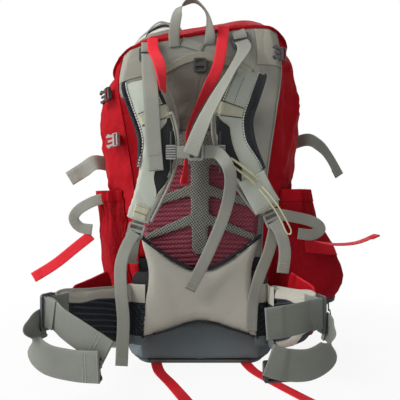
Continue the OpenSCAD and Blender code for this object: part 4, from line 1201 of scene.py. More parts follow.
def make_strap(tag, rows, inner, band, panel, mesh_from, mesh_to, mesh_edge):
    """A shoulder strap: stuffed pad, mesh edges, cross band, pointed dark panel, end tab and their seams."""
    name = f"strap_{tag}"
    node = f"shoulder_strap_{tag}"
    pad, tree = stuffed(f"{name}_pad", node, STRAP, "pack", 4.0, 2.0, 2.2, 4.0, even=2)

    def line(at, side, lift):
        """A line pressed on the strap's face, and its out directions."""
        spots, out = strap_spots(rows, at, side)
        return laid(tree, spots, out, lift), out

    def cover(part, at, low, high, thick, material, columns):
        """A sewn-on patch between two edges along the strap."""
        share = np.linspace(0, 1, columns)[None]
        low, high = [np.broadcast_to(v, at.shape)[:, None] for v in (low, high)]
        spots, out = strap_spots(rows, at[:, None], low * (1 - share) + high * share)
        patch(f"{name}_{part}", tree, spots, out, thick, material, pad, "pale_foam")

    def seam(part, at, side, lift, radius, material, sides=6):
        """Piping along the strap's face."""
        piping(f"{name}_{part}", line(at, side, lift)[0], radius, material, pad, sides)

    def sewn(part, at, side, lift, material, *sizes):
        """Stitches along the strap's face."""
        stitches(f"{name}_{part}", *line(at, side, lift), material, pad, *sizes)

    at = np.linspace(mesh_from, mesh_to, 60)
    taper = np.minimum(ramp(at, mesh_from, mesh_from + 0.8), ramp(-at, -mesh_to, -mesh_to + 1.6))
    edge = -inner * (0.97 - (0.97 - mesh_edge) * (0.35 + 0.65 * taper))
    cover("mesh_edge", at, edge, -inner * MESH_RIM, 0.5, EDGE_MESH, 8)
    seam("mesh_seam", at, edge, 0.3, 1.5, NAVY)
    sewn("mesh_dots", at, edge, 1.6, WHITE_THREAD, *DOTS)
    at = np.linspace(TOP_MESH_ROW, band[0], 40)
    edge = inner * TOP_MESH_EDGE
    cover("top_mesh", at, edge, inner * MESH_RIM, 0.5, EDGE_MESH, 8)
    seam("top_mesh_seam", at, edge, 0.3, 1.3, NAVY)
    sewn("top_mesh_dots", at, edge, 1.5, WHITE_THREAD, *DOTS)
    seam("inner_binding", np.linspace(band[0], BINDING_END, 80), inner * 0.93, 0.2, 2.6, GREY, 8)
    at = np.linspace(panel[0], panel[1], 50)
    share = (at - panel[0]) / (panel[1] - panel[0])
    top = ramp(share, 0, 0.16)
    point = 1 - ramp(share, POINT_FROM, 1.0)
    near_tip, far_tip = POINT_SIDES
    near = PANEL_EDGE - (PANEL_EDGE - panel[2]) * (0.25 + 0.75 * top) * point
    near = inner * np.where(share > POINT_FROM, near_tip + (panel[2] - near_tip) * point, near)
    far = inner * np.where(share > POINT_FROM, far_tip + (PANEL_EDGE - far_tip) * point, PANEL_EDGE)
    cover("dark_panel", at, near, far, 0.3, NAVY, 9)
    seam("panel_piping_near", at, near, 0.5, 0.8, KHAKI)
    seam("panel_piping_far", at, far, 0.5, 0.8, KHAKI)
    outer = -inner * band[2]
    cover("cross_band", np.linspace(band[0], band[1], 12), outer, inner * 0.95, 1.4, KHAKI, 16)
    for spot in (band[0] + 0.04, band[1] - 0.04):
        sewn(f"band_sewn_{int(spot * 100)}", spot, np.linspace(outer, inner * 0.9, 40), 1.5, THREAD)
    # Thin dark piping just outside the cross band: painted shadow along its raised edges
    for spot in (band[0] - 0.03, band[1] + 0.03):
        seam(f"band_edge_{int(spot * 100)}", spot, np.linspace(outer, inner * 0.6, 40), 0.2, 0.7, BINDING)
    cover("end_tab", np.linspace(*TAB_ROWS, 12), -0.5, 0.5, 1.5, KHAKI, 10)
    sewn("top_sewn", np.linspace(3.3, band[0] - 0.06, 40), 0.12 * inner, 0.2, DARK_THREAD, 3.2, 2.2, 0.5)
    for spot in TAB_SEAMS:
        sewn(f"tab_sewn_{int(spot * 100)}", spot, np.linspace(-0.46, 0.46, 30), 1.6, DARK_THREAD)


make_strap("left", STRAP_LEFT, 1, (4.4, 4.8, 0.6), (4.85, 8.0, 0.0), 2.4, 7.0, 0.72)
make_strap("right", STRAP_RIGHT, -1, (4.55, 4.95, 0.45), (5.0, 7.5, 0.1), 2.2, 7.4, 0.5)
for tag, x, high in (("left", -64, 440), ("right", 62, 452)):
    webbing(f"strap_root_{tag}", [[x, -100.6, high - 26], [x, -101.6, high - 12], [x, -105, high],
                                  [x * 1.06, -111, high + 16]], 54, GREY)
webbing("stow_sleeve_flap", [[84, -205.4, 338, 0.8, 0, 0.6], [97, -203, 312, 0.8, 0, 0.6],
                             [112, -197.4, 288, 0.8, 0, 0.6]], 46, STRAP, node="stow_sleeve", fold=8.0)


# Webbing of the harness

def strap_end(rows, shift):
    """A strap's end point, moved."""
    x, y, z = rows[-1][:3]
    return [x + shift[0], STRAP_ROOT + y * STRAP_REACH + shift[1], z + shift[2]]


LOCK_HALF = 2.5
WEB_OFF = LOCK_HALF + 2 * SEAT + WEB_T / 2
Y_LOW = Y_LUMBAR - SEAT - WEB_T / 2 - 0.2
Y_LIFTER = Y_SEAT - 2 * LOCK_HALF - 1.05 - WEB_T / 2
webbing("lower_web_left", [strap_end(STRAP_LEFT, (-6, WEB_OFF, -22)) + [0.96, 0, -0.25],
                           [-118, -150, 208, 0.98, 0, -0.1], [-124, -118, 194], [-121, Y_WEB, 184]],
        node="lower_webs")
webbing("lower_web_right", [strap_end(STRAP_RIGHT, (10, WEB_OFF, -22)) + [0.92, 0, 0.35], [118, -168, 214],
                            [102, Y_LUMBAR - 16, 166, 1, 0, -0.1], [93, Y_LOW - 2, 122], [91, Y_LOW, 94],
                            [90, Y_LOW, 70]], node="lower_webs", fold=16)
webbing("lower_tail_left_web", [strap_end(STRAP_LEFT, (-4, -WEB_OFF, -16)) + [0.96, 0, -0.25],
                                [-120, -194, 226, 0.97, 0, -0.2], [-128, -212, 196], [-126, -225, 156],
                                [-121, -233, 111], [-122, -236, 72], [-124, -232, 38]],
        node="lower_tail_left", fold=18)
webbing("lower_tail_right_web", [strap_end(STRAP_RIGHT, (6, -WEB_OFF, -16)) + [0.92, 0, 0.35],
                                 [134, -192, 244, 0.95, 0, 0.2], [141, -190, 214], [138, -186, 178]],
        node="lower_tail_right", fold=18)
for tag, rows, lean, shift in (("left", STRAP_LEFT, -0.25, -1), ("right", STRAP_RIGHT, 0.35, 1.6)):
    webbing(f"lock_loop_{tag}", [strap_end(rows, (shift * k, WEB_OFF - 0.2, z)) + [0.95, 0, lean]
                                 for k, z in ((0, 3), (2, -6), (4, -14), (6, -21))])
webbing("lifter_left_web", [[-95, Y_LIFTER, 564], [-92, -124, 560], [-87, -170, 530], [-80, -214, 478],
                            [-77, -215, 430], [-75, -215, 392], [-71, -214, 347]], 25,
        node="load_lifter_left", fold=30)
webbing("lifter_right_web", [[75, Y_LIFTER + 0.42, 590, 1, 0, 0.3], [78, -128, 576, 1, 0, 0.2],
                             [72, -178, 548, 0.9, 0, 0.4], [46, -220, 500, 0.75, -0.3, 0.5],
                             [14, -230, 442, 0.75, -0.3, 0.4], [-4, -232, 402, 0.85, -0.2, 0.3],
                             [-15, -232, 372, 0.95, -0.1, 0.3]], 25, node="load_lifter_right", fold=26)
webbing("lifter_tab_left", [[-95, Y_WEB - 0.2, 589], [-95, -101.6, 583], [-95, -105.2, 576],
                            [-95, -105.2, 570]], 25)
webbing("lifter_tab_right", [[x, y, z, 0.95, 0, 0.3] for x, y, z in (
    (69, Y_WEB - 0.2, 610), (71, -103, 606), (73, -105.4, 600), (74, -105.2, 595))], 25)

# Chest strap, and black bars across its two clips that paint the shade of their grip grooves
Y_RAIL = -211.1
Y_CHEST = Y_RAIL - 6
CHEST_Z = 377
CHEST_MID = -7
webbing("chest_web", [[x, Y_CHEST + 1.2, CHEST_Z, 0, 0, 1] for x in (-38.7, CHEST_MID, 24.7)], on="chest",
        node="sternum_webbing")
webbing("chest_tail_web", [[CHEST_MID + 13.9, Y_CHEST - 2, CHEST_Z, 0, 0, 1],
                           [26.7, Y_CHEST - 4, CHEST_Z - 1, 0.2, 0, 1], [44, -230, 354, 0.9, 0, 0.5],
                           [49, -219, 325, 1, 0, 0.1], [40, -192, 275, 1, 0, -0.2],
                           [12, -170, 205, 0.95, 0, -0.3], [-18, -160, 145, 0.9, 0, -0.3]], on="chest",
        node="sternum_webbing", fold=24)
# Black bars on the grey clips: painted shade in the grip grooves
grooves = [[[x + end, Y_CHEST, CHEST_Z + 4 * k] for end in (-8.1, 8.1)]
           for x in (-47, 33) for k in range(-2, 3)]
piece("chest_clip_groove_shade", merged([tube_solid(bar, 0.75, 6) for bar in grooves]), BLACK_PLASTIC, "chest")

# Side straps and red tails, which hang unfastened
webbing("upper_side_web_left", [bag_spot(0.65, 168, 0.6) + [0, 0.2, 1], [-222, 52, 380, -0.3, 0.1, 0.9],
                                [-250, 64, 365, -0.5, 0, 0.85], [-282, 70, 346, -0.55, 0, 0.8]], 32,
        node="upper_side_straps", fold=22)
webbing("upper_side_web_right", [bag_spot(0.71, 16, 0.6) + [0, 0.1, 1], [226, 50, 428, 0.05, 0.1, 1],
                                 [252, 54, 418, 0.3, 0.3, 0.9], [274, 54, 394, 0.7, 0.6, 0.4],
                                 [298, 55, 352, 0.8, 0.6, 0.3]], 27, node="upper_side_straps", fold=20)
webbing("lower_side_web_left", [[-181, -76, 303, 0, 0, 1], [-204, -76, 296, -0.1, 0, 1],
                                [-230, -70, 281, -0.6, 0, 0.8], [-240, -66, 264, -1, 0, 0.2],
                                [-228, -64, 248, -0.5, 0, -1], [-205, -66, 244, 0, 0, -1]],
        node="lower_side_strap_left")
webbing("lower_side_web_right", [[110, Y_WEB - 0.3, 280, 0.2, 0, 1], [156, -110, 272, 0.2, 0, 1],
                                 [200, -118, 262, 0.3, 0, 1], [216, -119, 249, 1, 0, 0.2],
                                 [202, -121, 238, 0.2, 0, -1], [176, -120, 240, -0.1, 0, -1]],
        node="lower_side_strap_right")
webbing("red_tail_left", [[-207, -63.1, 233, 0.3, 0, 1], [-236, -63, 210, 0.5, 0, 0.9],
                          [-276, -62, 178, 0.5, 0, 0.8], [-318, -60, 152, 0.45, 0, 0.9]],
        material=WEB_RED, node="red_tails", fold=16)
webbing("red_tail_right", [[204, -121, 226.4, 0, 1, 0], [240, -116, 220, 0, 1, 0.1],
                           [286, -104, 222, 0, 1, 0.1], [326, -94, 236, 0, 1, 0.1]],
        material=WEB_RED, node="red_tails", fold=16)


def rear_rim(x):
    """Height of the bag's rear rim."""
    return BAG_H + rim_shift(x, -BAG_BACK)


webbing("lid_tail_left_web", [[-86, -106.6, rear_rim(-86) + 3, 1, 0, 0.05], [-85, -112, 575, 1, 0, 0.1],
                              [-80, -132, 560, 1, 0, 0.15], [-71, -167, 538, 0.9, 0.3, 0.2],
                              [-64, -201, 508, 0.6, 0.7, 0.2], [-60, -219, 476, 0.35, 0.9, 0.1]],
        material=WEB_RED, node="lid_tail_left")
webbing("lid_tail_right_web", [[43.5, -108.2, rear_rim(43) + 1.6, 1, 0, 0.1], [33, -116, 544, 0.95, 0.1, 0.2],
                               [12, -126, 496, 0.8, 0.5, 0.3], [-10, -130, 452, 0.4, 0.9, 0.2],
                               [-22, -136, 416, 0.2, 0.95, 0.1], [-24, -138, 372, 0.2, 0.95, 0],
                               [-28, -138, 328, 0.6, 0.75, 0]],
        material=WEB_RED, node="lid_tail_right", fold=14)
for tag, x, high, low in (("left", -86, 5.6, 3), ("right", 43.5, 6.6, 2.2)):
    webbing(f"lid_tail_{tag}_top", [[x, y, rear_rim(x) + up, 1, 0, 0.1] for y, up in (
        (-101.2, high), (-101.8, (high + low) / 2), (-102.4, low))], material=WEB_RED, on="lid")
Y_BASE = Y_SEAT - 2.2
Z_MAT = 1.1
webbing("mat_strap_left", [[-80, Y_BASE, Z_MAT], [-70, -150, Z_MAT, 1, -0.2, 0],
                           [-46, -210, Z_MAT, 0.9, -0.4, 0], [-16, -292, Z_MAT, 0.9, -0.3, 0]],
        material=WEB_RED, node="mat_straps")
webbing("mat_strap_right", [[84, Y_BASE, Z_MAT], [96, -150, Z_MAT, 1, 0.3, 0],
                            [126, -212, Z_MAT, 0.9, 0.4, 0], [168, -290, Z_MAT, 0.9, 0.4, 0]],
        material=WEB_RED, node="mat_straps")


# Side pockets

POCKET_LOW, POCKET_HIGH = 0.07, 0.535
POCKET_ZIP = 0.19
POCKET_GATHERS = 12
POCKET_SIDES = {"left": (224, 146), "right": (-40, 40)}
POCKET_REACH = {"left": 20, "right": 110}
POCKET_FILL = {"left": smooth([[0, 0], [0.25, 0.8], [0.5, 1], [0.8, 0.9], [1, 0.8]], 4),
               "right": smooth([[0, 0], [0.15, 0.65], [0.36, 1], [0.6, 0.76], [0.8, 0.42], [1, 0.24]], 4)}


def pocket_place(tag, share, side):
    """Height share and angle of the bag behind a spot of a side pocket."""
    low, high = POCKET_SIDES[tag]
    return np.broadcast_arrays(POCKET_LOW + (POCKET_HIGH - POCKET_LOW) * share, low + (high - low) * side)


def pocket_spots(tag, share, side, extra):
    """Places on a side pocket, by share of its height and width, with folds added."""
    rows = POCKET_FILL[tag]
    away = POCKET_REACH[tag] * np.interp(share, rows[:, 0], rows[:, 1]) * np.sin(np.pi * side) ** 0.7
    return bag_point(*pocket_place(tag, share, side), SEAT + away + extra)


def make_pocket(tag, deep, calm):
    """A stretch pocket that gathers at its elastic hem and sags over what is in it."""
    share = np.linspace(0, 1, 73)[:, None]
    side = np.linspace(0, 1, 81)[None]
    flat = pocket_spots(tag, share, side, 0)
    held = np.minimum(ramp(side, 0, 0.1), ramp(1 - side, 0, 0.1)) * ramp(share, 0, 0.08)
    gather = np.sin(2 * np.pi * POCKET_GATHERS * side + 2.2 * lumps(flat, 0.02, 5.0))
    folds = 1 - 2.6 * np.abs(lumps(flat * [1, 1, 0.75], 0.017, 17.0))
    quiet = 1 - np.exp(-((share - calm) / 0.1) ** 2) if calm else 1
    extra = np.clip(held * quiet * (deep * folds + 3.0 * gather * ramp(share, 0.6, 0.94)), -6, deep + 1)
    level, angle = pocket_place(tag, share, side)
    nominal = bag_point(level, angle, 0)
    sewn = np.maximum(1 - ramp(np.minimum(side, 1 - side), 0, 0.15), 1 - ramp(share, 0, 0.1))[..., None]
    sunk = (laid(bag_tree[tag], nominal, bag_normal(level, angle), 0) - nominal) * sewn
    outer, inner = [pocket_spots(tag, share, side, extra + lift) + sunk for lift in (1.8, 0.2)]
    name = f"side_pocket_{tag}"
    pocket = piece(f"{name}_cloth", sheet_solid(outer, inner), RED_STRETCH, "pack", name)
    out = bag_normal(0.5, angle[:1])
    hem_out = outer[-7:] + out * 1.0
    piece(f"{name}_hem", sheet_solid(hem_out, outer[-7:] - out * 0.5), RED, pocket)
    stitches(f"{name}_hem_sewn", hem_out[0] + [0, 0, 1.5], out[0], RED_THREAD, pocket)
    piping(f"{name}_rear_seam", outer[:, 0], 1.5, RED, pocket)
    piping(f"{name}_front_seam", outer[:, -1], 1.5, RED, pocket)
    return pocket


make_pocket("left", 3.6, 0)
pocket_right = make_pocket("right", 7.0, 0.26)


def make_pocket_band():
    """The bound strap across the right pocket."""
    tree = surface_of(pocket_right)
    side = np.linspace(0.1, 0.9, 80)[None]
    share = 0.64 - 0.05 * np.sin(np.pi * side) + np.linspace(-0.045, 0.045, 8)[:, None]
    out = bag_normal(0.5, pocket_place("right", share, side)[1])
    spots = pocket_spots("right", share, side, 0)
    patch("side_pocket_right_band", tree, spots, out, 1.3, RED_TRIM, pocket_right)
    for k in (0, -1):
        line = laid(tree, spots[k], out[k], 1.4)
        stitches(f"side_pocket_right_band_sewn_{abs(k)}", line, out[k], RED_THREAD, pocket_right)


def make_pocket_zip():
    """The zip across the right side pocket, under its slider."""
    side = np.linspace(0.2, 0.8, 40)
    share = (POCKET_ZIP - POCKET_LOW) / (POCKET_HIGH - POCKET_LOW)
    out = bag_normal(*pocket_place("right", share, side))
    zip_line("pocket_zip", pocket_spots("right", share, side, 1.9), Z_WAY, out, pocket_right, 12.0)


make_pocket_band()
make_pocket_zip()


# Front of the bag

FRONT_LOW, FRONT_HIGH = 0.3, 0.74
FRONT_START, FRONT_SPAN = 62, 56
FRONT_ZIP = 0.22
LADDER_TOP = 382
LADDER_PITCH = 31.0
TACK = np.linspace(-8, 8, 9)
TACK_LIFT = 2.3


def front_pull(name, spot):
    """A zip's slider with a flat pull."""
    x, y, z = spot
    slider = webbing(name, [[x, y, z + 5], [x, y + 1.4, z], [x, y, z - 5]], 7, DARK_PLASTIC)
    webbing(f"{name}_tab", [[x, y + 1.6, z - 3], [x + 0.4, y + 2.4, z - 12],
                            [x + 1, y + 1.8, z - 26, 1, 0.1, 0]], 6, WEB_DARK, slider)


def make_front():
    """The stuffed front pocket and the zip below it."""
    pocket, tree = stuffed("front_pocket_cloth", "front_pocket", RED, "pack", 5.0, 2.0, 3.0)
    angle = 46 + 88 * np.linspace(0, 1, 60)
    spots = bag_point(FRONT_ZIP, angle, SEAT)
    out = bag_normal(FRONT_ZIP, angle)
    tape = webbing("front_zip_tape", with_way(spots + out * 0.9, Z_WAY), 14, WEB_DARK, node="front_zip",
                   steps=1)
    zip_line("front_zip_chain", spots + out * 1.2, Z_WAY, out, tape, 8.0)
    for k in (12, 47):
        front_pull(f"front_zip_pull_{k}", spots[k] + [0, 2.6, 0])
    return pocket, tree


front_pocket, front_tree = make_front()


def on_front(x, z, lift):
    """Places on the bag's front or the pocket there, whichever stands further out."""
    points = []
    for a, b in np.stack(np.broadcast_arrays(np.asarray(x, float), np.asarray(z, float)), -1).reshape(-1, 2):
        hits = [tree.ray_cast(Vector((a * MM, 0.5, b * MM)), Vector((0, -1, 0)))[0]
                for tree in (bag_tree["front"], front_tree)]
        points.append([a, max(hit[1] / MM for hit in hits if hit) + lift, b])
    return np.array(points)


def front_webbing(name, x, high, low, bulge=0.0, pitch=1.0):
    """Webbing down the front of the bag, with loops left open between its bar tacks."""
    z = np.linspace(high, low, 60)
    spots = on_front(x, z, 1.1)
    spots[:, 1] += bulge * np.abs(np.sin(np.pi * (high - z) / pitch)) ** 0.8
    return webbing(name, spots, steps=1)


def front_ring(inset, out):
    """A line round the front pocket, drawn in by a share of its size."""
    rise = np.linspace(0, 1, 40)
    u = np.concatenate([rise, np.ones(40), rise[::-1], np.zeros(40)])
    v = np.concatenate([np.zeros(40), rise, np.ones(40), rise[::-1]])
    u, v = [0.5 + (w - 0.5) * (1 - 2 * inset) for w in (u, v)]
    return bag_point(FRONT_LOW + (FRONT_HIGH - FRONT_LOW) * v, FRONT_START + FRONT_SPAN * u, out)


def make_front_trim():
    """Piping, seams and a zip on the front pocket, a webbing ladder, and the straps of the lid's sockets."""
    piping("front_pocket_piping", front_ring(0, 1.0), 1.9, RED_TRIM, front_pocket)
    for k, inset in enumerate((0.045, 0.075)):
        ring = front_ring(inset, 0)
        line = on_front(ring[:, 0], ring[:, 2], 0.4)
        stitches(f"front_pocket_sewn_{k}", line, Y_WAY, RED_THREAD, front_pocket)
    x = np.linspace(-56, 56, 70)
    spots = on_front(x, 398 - 0.0007 * x ** 2, 0.6)
    zip_line("front_pocket_zip", spots, (0, 0.2, 1), Y_WAY, front_pocket, 13.0)
    front_pull("front_pocket_pull", spots[9] + [0, 2.4, 0])
    ladder = front_webbing("front_ladder", 0, LADDER_TOP, LADDER_TOP - 6 * LADDER_PITCH, 4.0, LADDER_PITCH)
    for k in range(7):
        bar = on_front(TACK, LADDER_TOP - (LADDER_PITCH * k if k else 3), TACK_LIFT)
        bar_tack(f"front_ladder_tack_{k}", bar, Y_WAY, ladder)
    for tag, x, high in (("left", -70, 443), ("right", 70, 453)):
        strap = front_webbing(f"front_strap_{tag}", x, high, 152)
        for k, level in enumerate((158, 166)):
            bar = on_front(x + TACK, level, TACK_LIFT)
            bar_tack(f"front_strap_{tag}_tack_{k}", bar, Y_WAY, strap)


def make_lid_webs():
    """Webbing from the lid's crown to the forks that hang at its front."""
    tree = surface_of(lid)
    for tag, x, bar in (("left", -70, 588), ("right", 70, 609)):
        over = laid(tree, [[x, y, lid_top(x, y)] for y in (98, 84, 68, 52, 36, 20)], Z_WAY, 1.2)
        web = webbing(f"lid_front_web_{tag}", [[x, 118.4, bar - 1], [x, 116.5, bar + 7], *over], on="lid")
        for k, y in enumerate((24, 32)):
            line = laid(tree, [[x + d, y, lid_top(x, y)] for d in TACK], Z_WAY, TACK_LIFT)
            bar_tack(f"lid_front_web_{tag}_tack_{k}", line, Z_WAY, web)


make_front_trim()
make_lid_webs()


# Hip belt

HINGE = (-128.0, -105.0)
SPLAY = {"left": 26, "right": 12}
WING_ROWS = smooth([[0, 92, 108, 12], [24, 93, 116, 19.5], [60, 99, 112, 26], [125, 115, 92, 24],
                    [170, 133, 68, 21], [188, 138, 58, 18], [200, 138, 52, 15.6]], 6)
RIB_PITCH = 9.5
RIB_MIDDLE = 0.04
RIB_DEEP = 3.4
RIB_RUN = (26, 168)
BAND_RUN = (8, 196)
WING_ZIP_RUN = (42, 136)


def wing_place(tag, points):
    """Points of a wing's own frame moved to the belt."""
    points = np.asarray(points, float)
    turn = math.radians(-SPLAY[tag])
    x = HINGE[0] + points[..., 0] * math.cos(turn) - points[..., 1] * math.sin(turn)
    y = HINGE[1] + points[..., 0] * math.sin(turn) + points[..., 1] * math.cos(turn)
    return np.stack([x if tag == "left" else -x, y, points[..., 2]], -1)


def wing_turn(tag, way):
    """Directions of a wing's own frame turned to the belt."""
    return wing_place(tag, way) - wing_place(tag, np.zeros(3))


def wing_row(run):
    """Middle height and half height of a wing along it."""
    return [np.interp(run, WING_ROWS[:, 0], WING_ROWS[:, c]) / c for c in (1, 2)]


def wing_line(tag, at, z):
    """Places along a wing's middle plane at given heights."""
    return wing_place(tag, np.stack(np.broadcast_arrays(0.0, -at, z), -1))


def rib_bend(run):
    """Droop of the wing's ribs along it."""
    return 0.0016 * (run - 90) ** 2


def rib_wing(tag, wing):
    """Press grooves between the ribs into the inner face of a wing."""
    points = coordinates(wing.data) / MM
    inward = wing_turn(tag, X_WAY)
    run = (points - wing_place(tag, np.zeros(3))) @ wing_turn(tag, -Y_WAY)
    middle, half = wing_row(run)
    height = (points[:, 2] - middle) / half
    face = ramp(normals_of(wing.data) @ inward, 0.3, 0.8)
    ribs = 0.5 + 0.5 * np.cos(2 * np.pi * (height * half + rib_bend(run)) / RIB_PITCH)
    inside = face * ramp(0.62 - np.abs(height + RIB_MIDDLE), 0, 0.1)
    inside *= ramp(run, 12, 24) * ramp(-run, -182, -170)
    set_coordinates(wing.data, (points - inward * (RIB_DEEP * ribs * inside)[:, None]) * MM)


def make_wing(tag):
    """A hip wing: stuffed pad with ribbed mesh inside, a pale top band and a zipped pocket outside."""
    body = f"wing_{tag}"
    inward = wing_turn(tag, X_WAY)
    wing, tree = stuffed(f"{body}_pad", f"hip_wing_{tag}", DARK_MESH, body, 5.0, 2.0, 2.4, even=3,
                         shape=lambda obj: rib_wing(tag, obj))
    # Lighter beads along the crests between the grooves: painted highlights on the ribs
    at = np.linspace(*RIB_RUN, 60)
    middle, half = wing_row(at)
    ridges = []
    for k in range(-4, 4):
        off = (k + 0.5) * RIB_PITCH - rib_bend(at)
        line = wing_line(tag, at, middle + off)[np.abs(off / half + RIB_MIDDLE) < 0.56]
        if len(line) > 4:
            ridges.append(tube_solid(laid(tree, line, inward, 0.1), 1.1, 6))
    piece(f"{body}_ribs", merged(ridges), RIB_HIGHLIGHT, wing)
    at = np.linspace(*BAND_RUN, 60)
    middle, half = wing_row(at)
    tip = ramp(at, 105, 180)
    across = np.linspace(0, 1, 15)[None]
    for name, low, high in (("top_band", 0.58 - 0.3 * tip, 0.94), ("low_band", -0.94, -0.72 + 0.1 * tip)):
        share = np.broadcast_to(low, 60)[:, None] * (1 - across) + np.broadcast_to(high, 60)[:, None] * across
        spots = wing_line(tag, at[:, None], middle[:, None] + half[:, None] * share)
        patch(f"{body}_{name}", tree, spots, inward, 1.5, LUMBAR, wing)
        line = wing_line(tag, at, middle + half * (low if name == "top_band" else high))[4:]
        bead_on(f"{body}_{name}_piping", tree, line, inward, 1.1, 1.4, BINDING, wing)
    pocket, tree = stuffed(f"{body}_pocket_cloth", f"wing_pocket_{tag}", RED, body, 4.0, 1.4, 2.0,
                           even=2)
    at = np.linspace(*WING_ZIP_RUN, 30)
    line = wing_place(tag, np.stack([np.full(30, -16.0), -at, 116 + 0.14 * at], -1))
    zip_line(f"{body}_zip", laid(tree, line, -inward, 0.2), Z_WAY, -inward, pocket, 11.0)


def make_belt_cover(tag):
    """Cloth that bridges the lumbar pad and a wing over its hinge: pale above, ribbed mesh, slate below."""
    side = -1 if tag == "left" else 1
    on_wing = wing_place(tag, [[10.0, -14.0, 0], [13.6, -34.0, 0], [14.4, -58.0, 0]])[:, :2]
    plan = smooth([[side * 97.0, -133.0], [side * 106.0, -131.0], [side * 116.0, -127.0], *on_wing], 8)
    for name, low, high, material in (("top", 116, 150, LUMBAR), ("mesh", 58, 118, DARK_MESH),
                                      ("low", 42, 60, SLATE)):
        z = np.linspace(low, high, 25)[:, None]
        bulge = 2.4 * np.sin(np.pi * (z - low) / (high - low)) ** 0.5
        if name == "mesh":
            bulge += 1.2 * np.cos(2 * np.pi * (z - low) / 10.0)
        outer = np.stack(np.broadcast_arrays(plan[None, :, 0], plan[None, :, 1] - bulge, z), -1)
        cover = piece(f"belt_cover_{tag}_{name}", sheet_solid(outer, outer + [0, 2.0, 0]), material, None)
        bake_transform(cover)


MOUTH_TOP = {"left": [[32, 176], [60, 171], [92, 166], [125, 162], [146, 159]],
             "right": [[44, 176], [75, 172], [105, 169], [135, 166], [160, 162]]}
MOUTH_END = 120
MOUTH_LOW = 132


def make_pocket_mouth(tag):
    """The raised mouth of a wing's outside pocket, gathered cloth with a bound edge."""
    rows = np.array(MOUTH_TOP[tag], float)
    at = np.linspace(rows[0, 0], rows[-1, 0], 60)
    drop = 0.5 + 0.5 * np.minimum(ramp(at - at[0], 0, 16), ramp(at[-1] - at, 0, 16)) ** 0.6
    top = MOUTH_END + (np.interp(at, rows[:, 0], rows[:, 1]) - MOUTH_END) * drop
    up = np.linspace(0, 1, 15)[:, None]
    gather = np.sin(at / 5.5 + 1.5 * np.sin(at / 17)) * 1.8
    x = -11.5 - 6 * up + gather[None] * up * (1.2 - up)
    local = np.stack([x, np.broadcast_to(-at[None], x.shape), MOUTH_LOW + (top - MOUTH_LOW)[None] * up], -1)
    solid = sheet_solid(wing_place(tag, local), wing_place(tag, local - [1.6, 0, 0]))
    mouth = piece(f"wing_{tag}_pocket_mouth", solid, RED, f"wing_{tag}")
    piping(f"wing_{tag}_pocket_mouth_edge", wing_place(tag, local[-1] - [0.8, 0, 0]), 1.8, RED_TRIM, mouth)


for tag in ("left", "right"):
    make_wing(tag)
    make_belt_cover(tag)
    make_pocket_mouth(tag)

# Hip webbing by rows of reach past the wing's tip, inward place and height, and an across direction, or Z
WING_L = 200
GLIDE_L = 13
TIP = WING_L + GLIDE_L + 1.5
BELT = {
    "left_out": [[6, 3.2, 139], [7, 16, 138], [12, 40, 127, 0, -0.1, 1], [10, 70, 112, 0.1, -0.1, 1],
                 [2, 108, 90, 0.25, -0.1, 1]],
    "left_in": [[2, -3.4, 122], [14, -5, 118], [24, -4, 96, 0.1, 0, 1], [28, 24, 80, 0.2, 0, 1],
                [22, 68, 75, 0.1, 0, 1], [15, 104, 76]],
    "right_out": [[6, 1.2, 141], [8, 16, 140], [16, 36, 138], [23, 64, 136], [25, 92, 134]],
    "right_in": [[2, -3.4, 122], [14, -5, 116], [24, 0, 92], [30, 30, 78], [31, 66, 80], [29, 90, 88]]}
for tag, up in (("left", 138), ("right", 140)):
    BELT[f"{tag}_turn"] = [[3.8, -3.4, up], [5.6, -2.8, up], [7.2, -1, up], [8, 1.5, up], [8.2, 5, up],
                           [8.8, 12, up], [10.5, 22, up - 2]]
for key, rows in BELT.items():
    tag = key.split("_")[0]
    spots = wing_place(tag, [[x, -(TIP + reach), z] for reach, x, z, *_ in rows])
    ways = wing_turn(tag, np.array([row[3:] or [0, 0, 1] for row in rows], float))
    webbing(f"hip_web_{key}", with_way(spots, ways), 44, WEB_HIP, f"wing_{tag}", f"hip_webbing_{tag}",
            fold=0 if "turn" in key else 26)
ANCHOR = [[-34, 10.4], [-22, 9.8], [-15, 6.2], [-11, 3.8], [-7, 2.8], [-5.4, 0], [-7, -2.8], [-11, -3.8],
          [-15, -6.2], [-22, -9.8], [-34, -10.4]]
for tag in ("left", "right"):
    spots = wing_place(tag, [[x, -(TIP + reach), 138] for reach, x in ANCHOR])
    webbing(f"hip_anchor_{tag}", with_way(spots, Z_WAY), 46, WEB_HIP, f"wing_{tag}", steps=6)


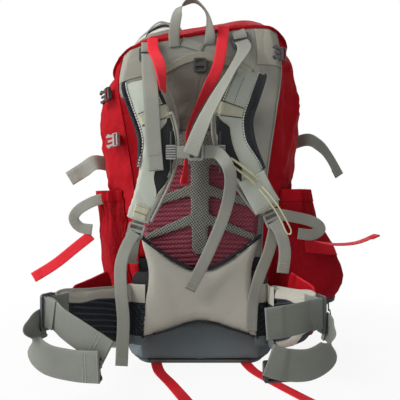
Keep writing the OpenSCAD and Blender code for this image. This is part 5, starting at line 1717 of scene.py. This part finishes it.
def make_zip_pull():
    """A flat pull that hangs from the pocket's zip slider, with a moulded end."""
    low, high = (np.array(corner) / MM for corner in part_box("zip_slider"))
    x = (low[0] + high[0]) / 2 + 3
    y = (low[1] + high[1]) / 2
    rows = [[x, y, low[2] + 3, 0, 1, 0], [x + 3, y, low[2] - 14, 0.2, 1, 0],
            [x + 3, y, low[2] - 34, 0.4, 0.9, 0]]
    pull = webbing("zip_pull", rows, 6, WEB_DARK, "slider")
    down = np.linspace(0, 1, 7)
    half = np.interp(down, [0, 0.15, 0.7, 1], [2.4, 4.0, 4.6, 3.0])
    end = np.array(rows[-1][:3])
    turn = np.radians(np.arange(0, 360, 30))
    rings = [[end + [0.4 * h * math.cos(a) + 0.6 * math.sin(a), 0.9 * h * math.cos(a) - 1.4 * math.sin(a),
                     3 - 17 * t] for a in turn] for t, h in zip(down, half)]
    piece("zip_pull_end", ring_solid(rings), BLACK_PLASTIC, pull)


make_zip_pull()


# Webbing tabs that hold the side forks

FORK_SPOTS = ((0.88, 218, 100, -0.3), (0.7, 230, 95, -3), (0.93, -52, 90, 1.9))
BAR_OUT = 8
BAR_DOWN = -8
TAB_BEND = 2.3


def make_fork_tabs():
    """A folded tab round each fork's bar, sewn to the bag."""
    turn = np.radians(np.arange(-60, 241, 20))
    bend = [(TAB_BEND * math.cos(a), BAR_OUT + TAB_BEND * math.sin(a)) for a in turn]
    for k, (share, angle, roll, low) in enumerate(FORK_SPOTS):
        n = bag_normal(share, angle)
        place = (Matrix.Translation(Vector(bag_spot(share, angle, 0)))
                 @ Matrix.Rotation(math.atan2(n[1], n[0]) + math.pi / 2, 4, "Z")
                 @ Matrix.Rotation(math.pi / 2, 4, "X") @ Matrix.Rotation(math.radians(roll), 4, "Z"))
        loop = [(0.9, low), *bend, (-0.9, low)]
        rings = [[place @ Vector((x, y + BAR_DOWN, z)) for y, z in loop] for x in np.linspace(-9, 9, 13)]
        piece(f"fork_tab_{k + 1}", ring_solid(rings), RED_TRIM, "pack", "fork_tabs", "red_webbing")


make_fork_tabs()


# Moulded and metal pieces keep their CAD shape, with rounded edges

for material, names in (
        (SHEET_PLASTIC, ("frame_sheet", "belt_core")), (ALLOY, ("frame_rod",)), (BINDING, ("sternum_rails",)),
        (BLACK_PLASTIC, ("hydration_clip", "lid_sockets", "lid_forks", "hip_buckle_fork", "hip_buckle_socket",
                         "zip_slider", "side_fork_left_upper")),
        (DARK_PLASTIC, ("lifter_locks", "hip_glide_left", "hip_glide_right", "side_fork_right")),
        (GREY_PLASTIC, ("ladder_locks", "sternum_clips", "side_fork_left_lower"))):
    for name in names:
        NODE[name].data.materials.clear()
        NODE[name].data.materials.append(material)
        soften(NODE[name])
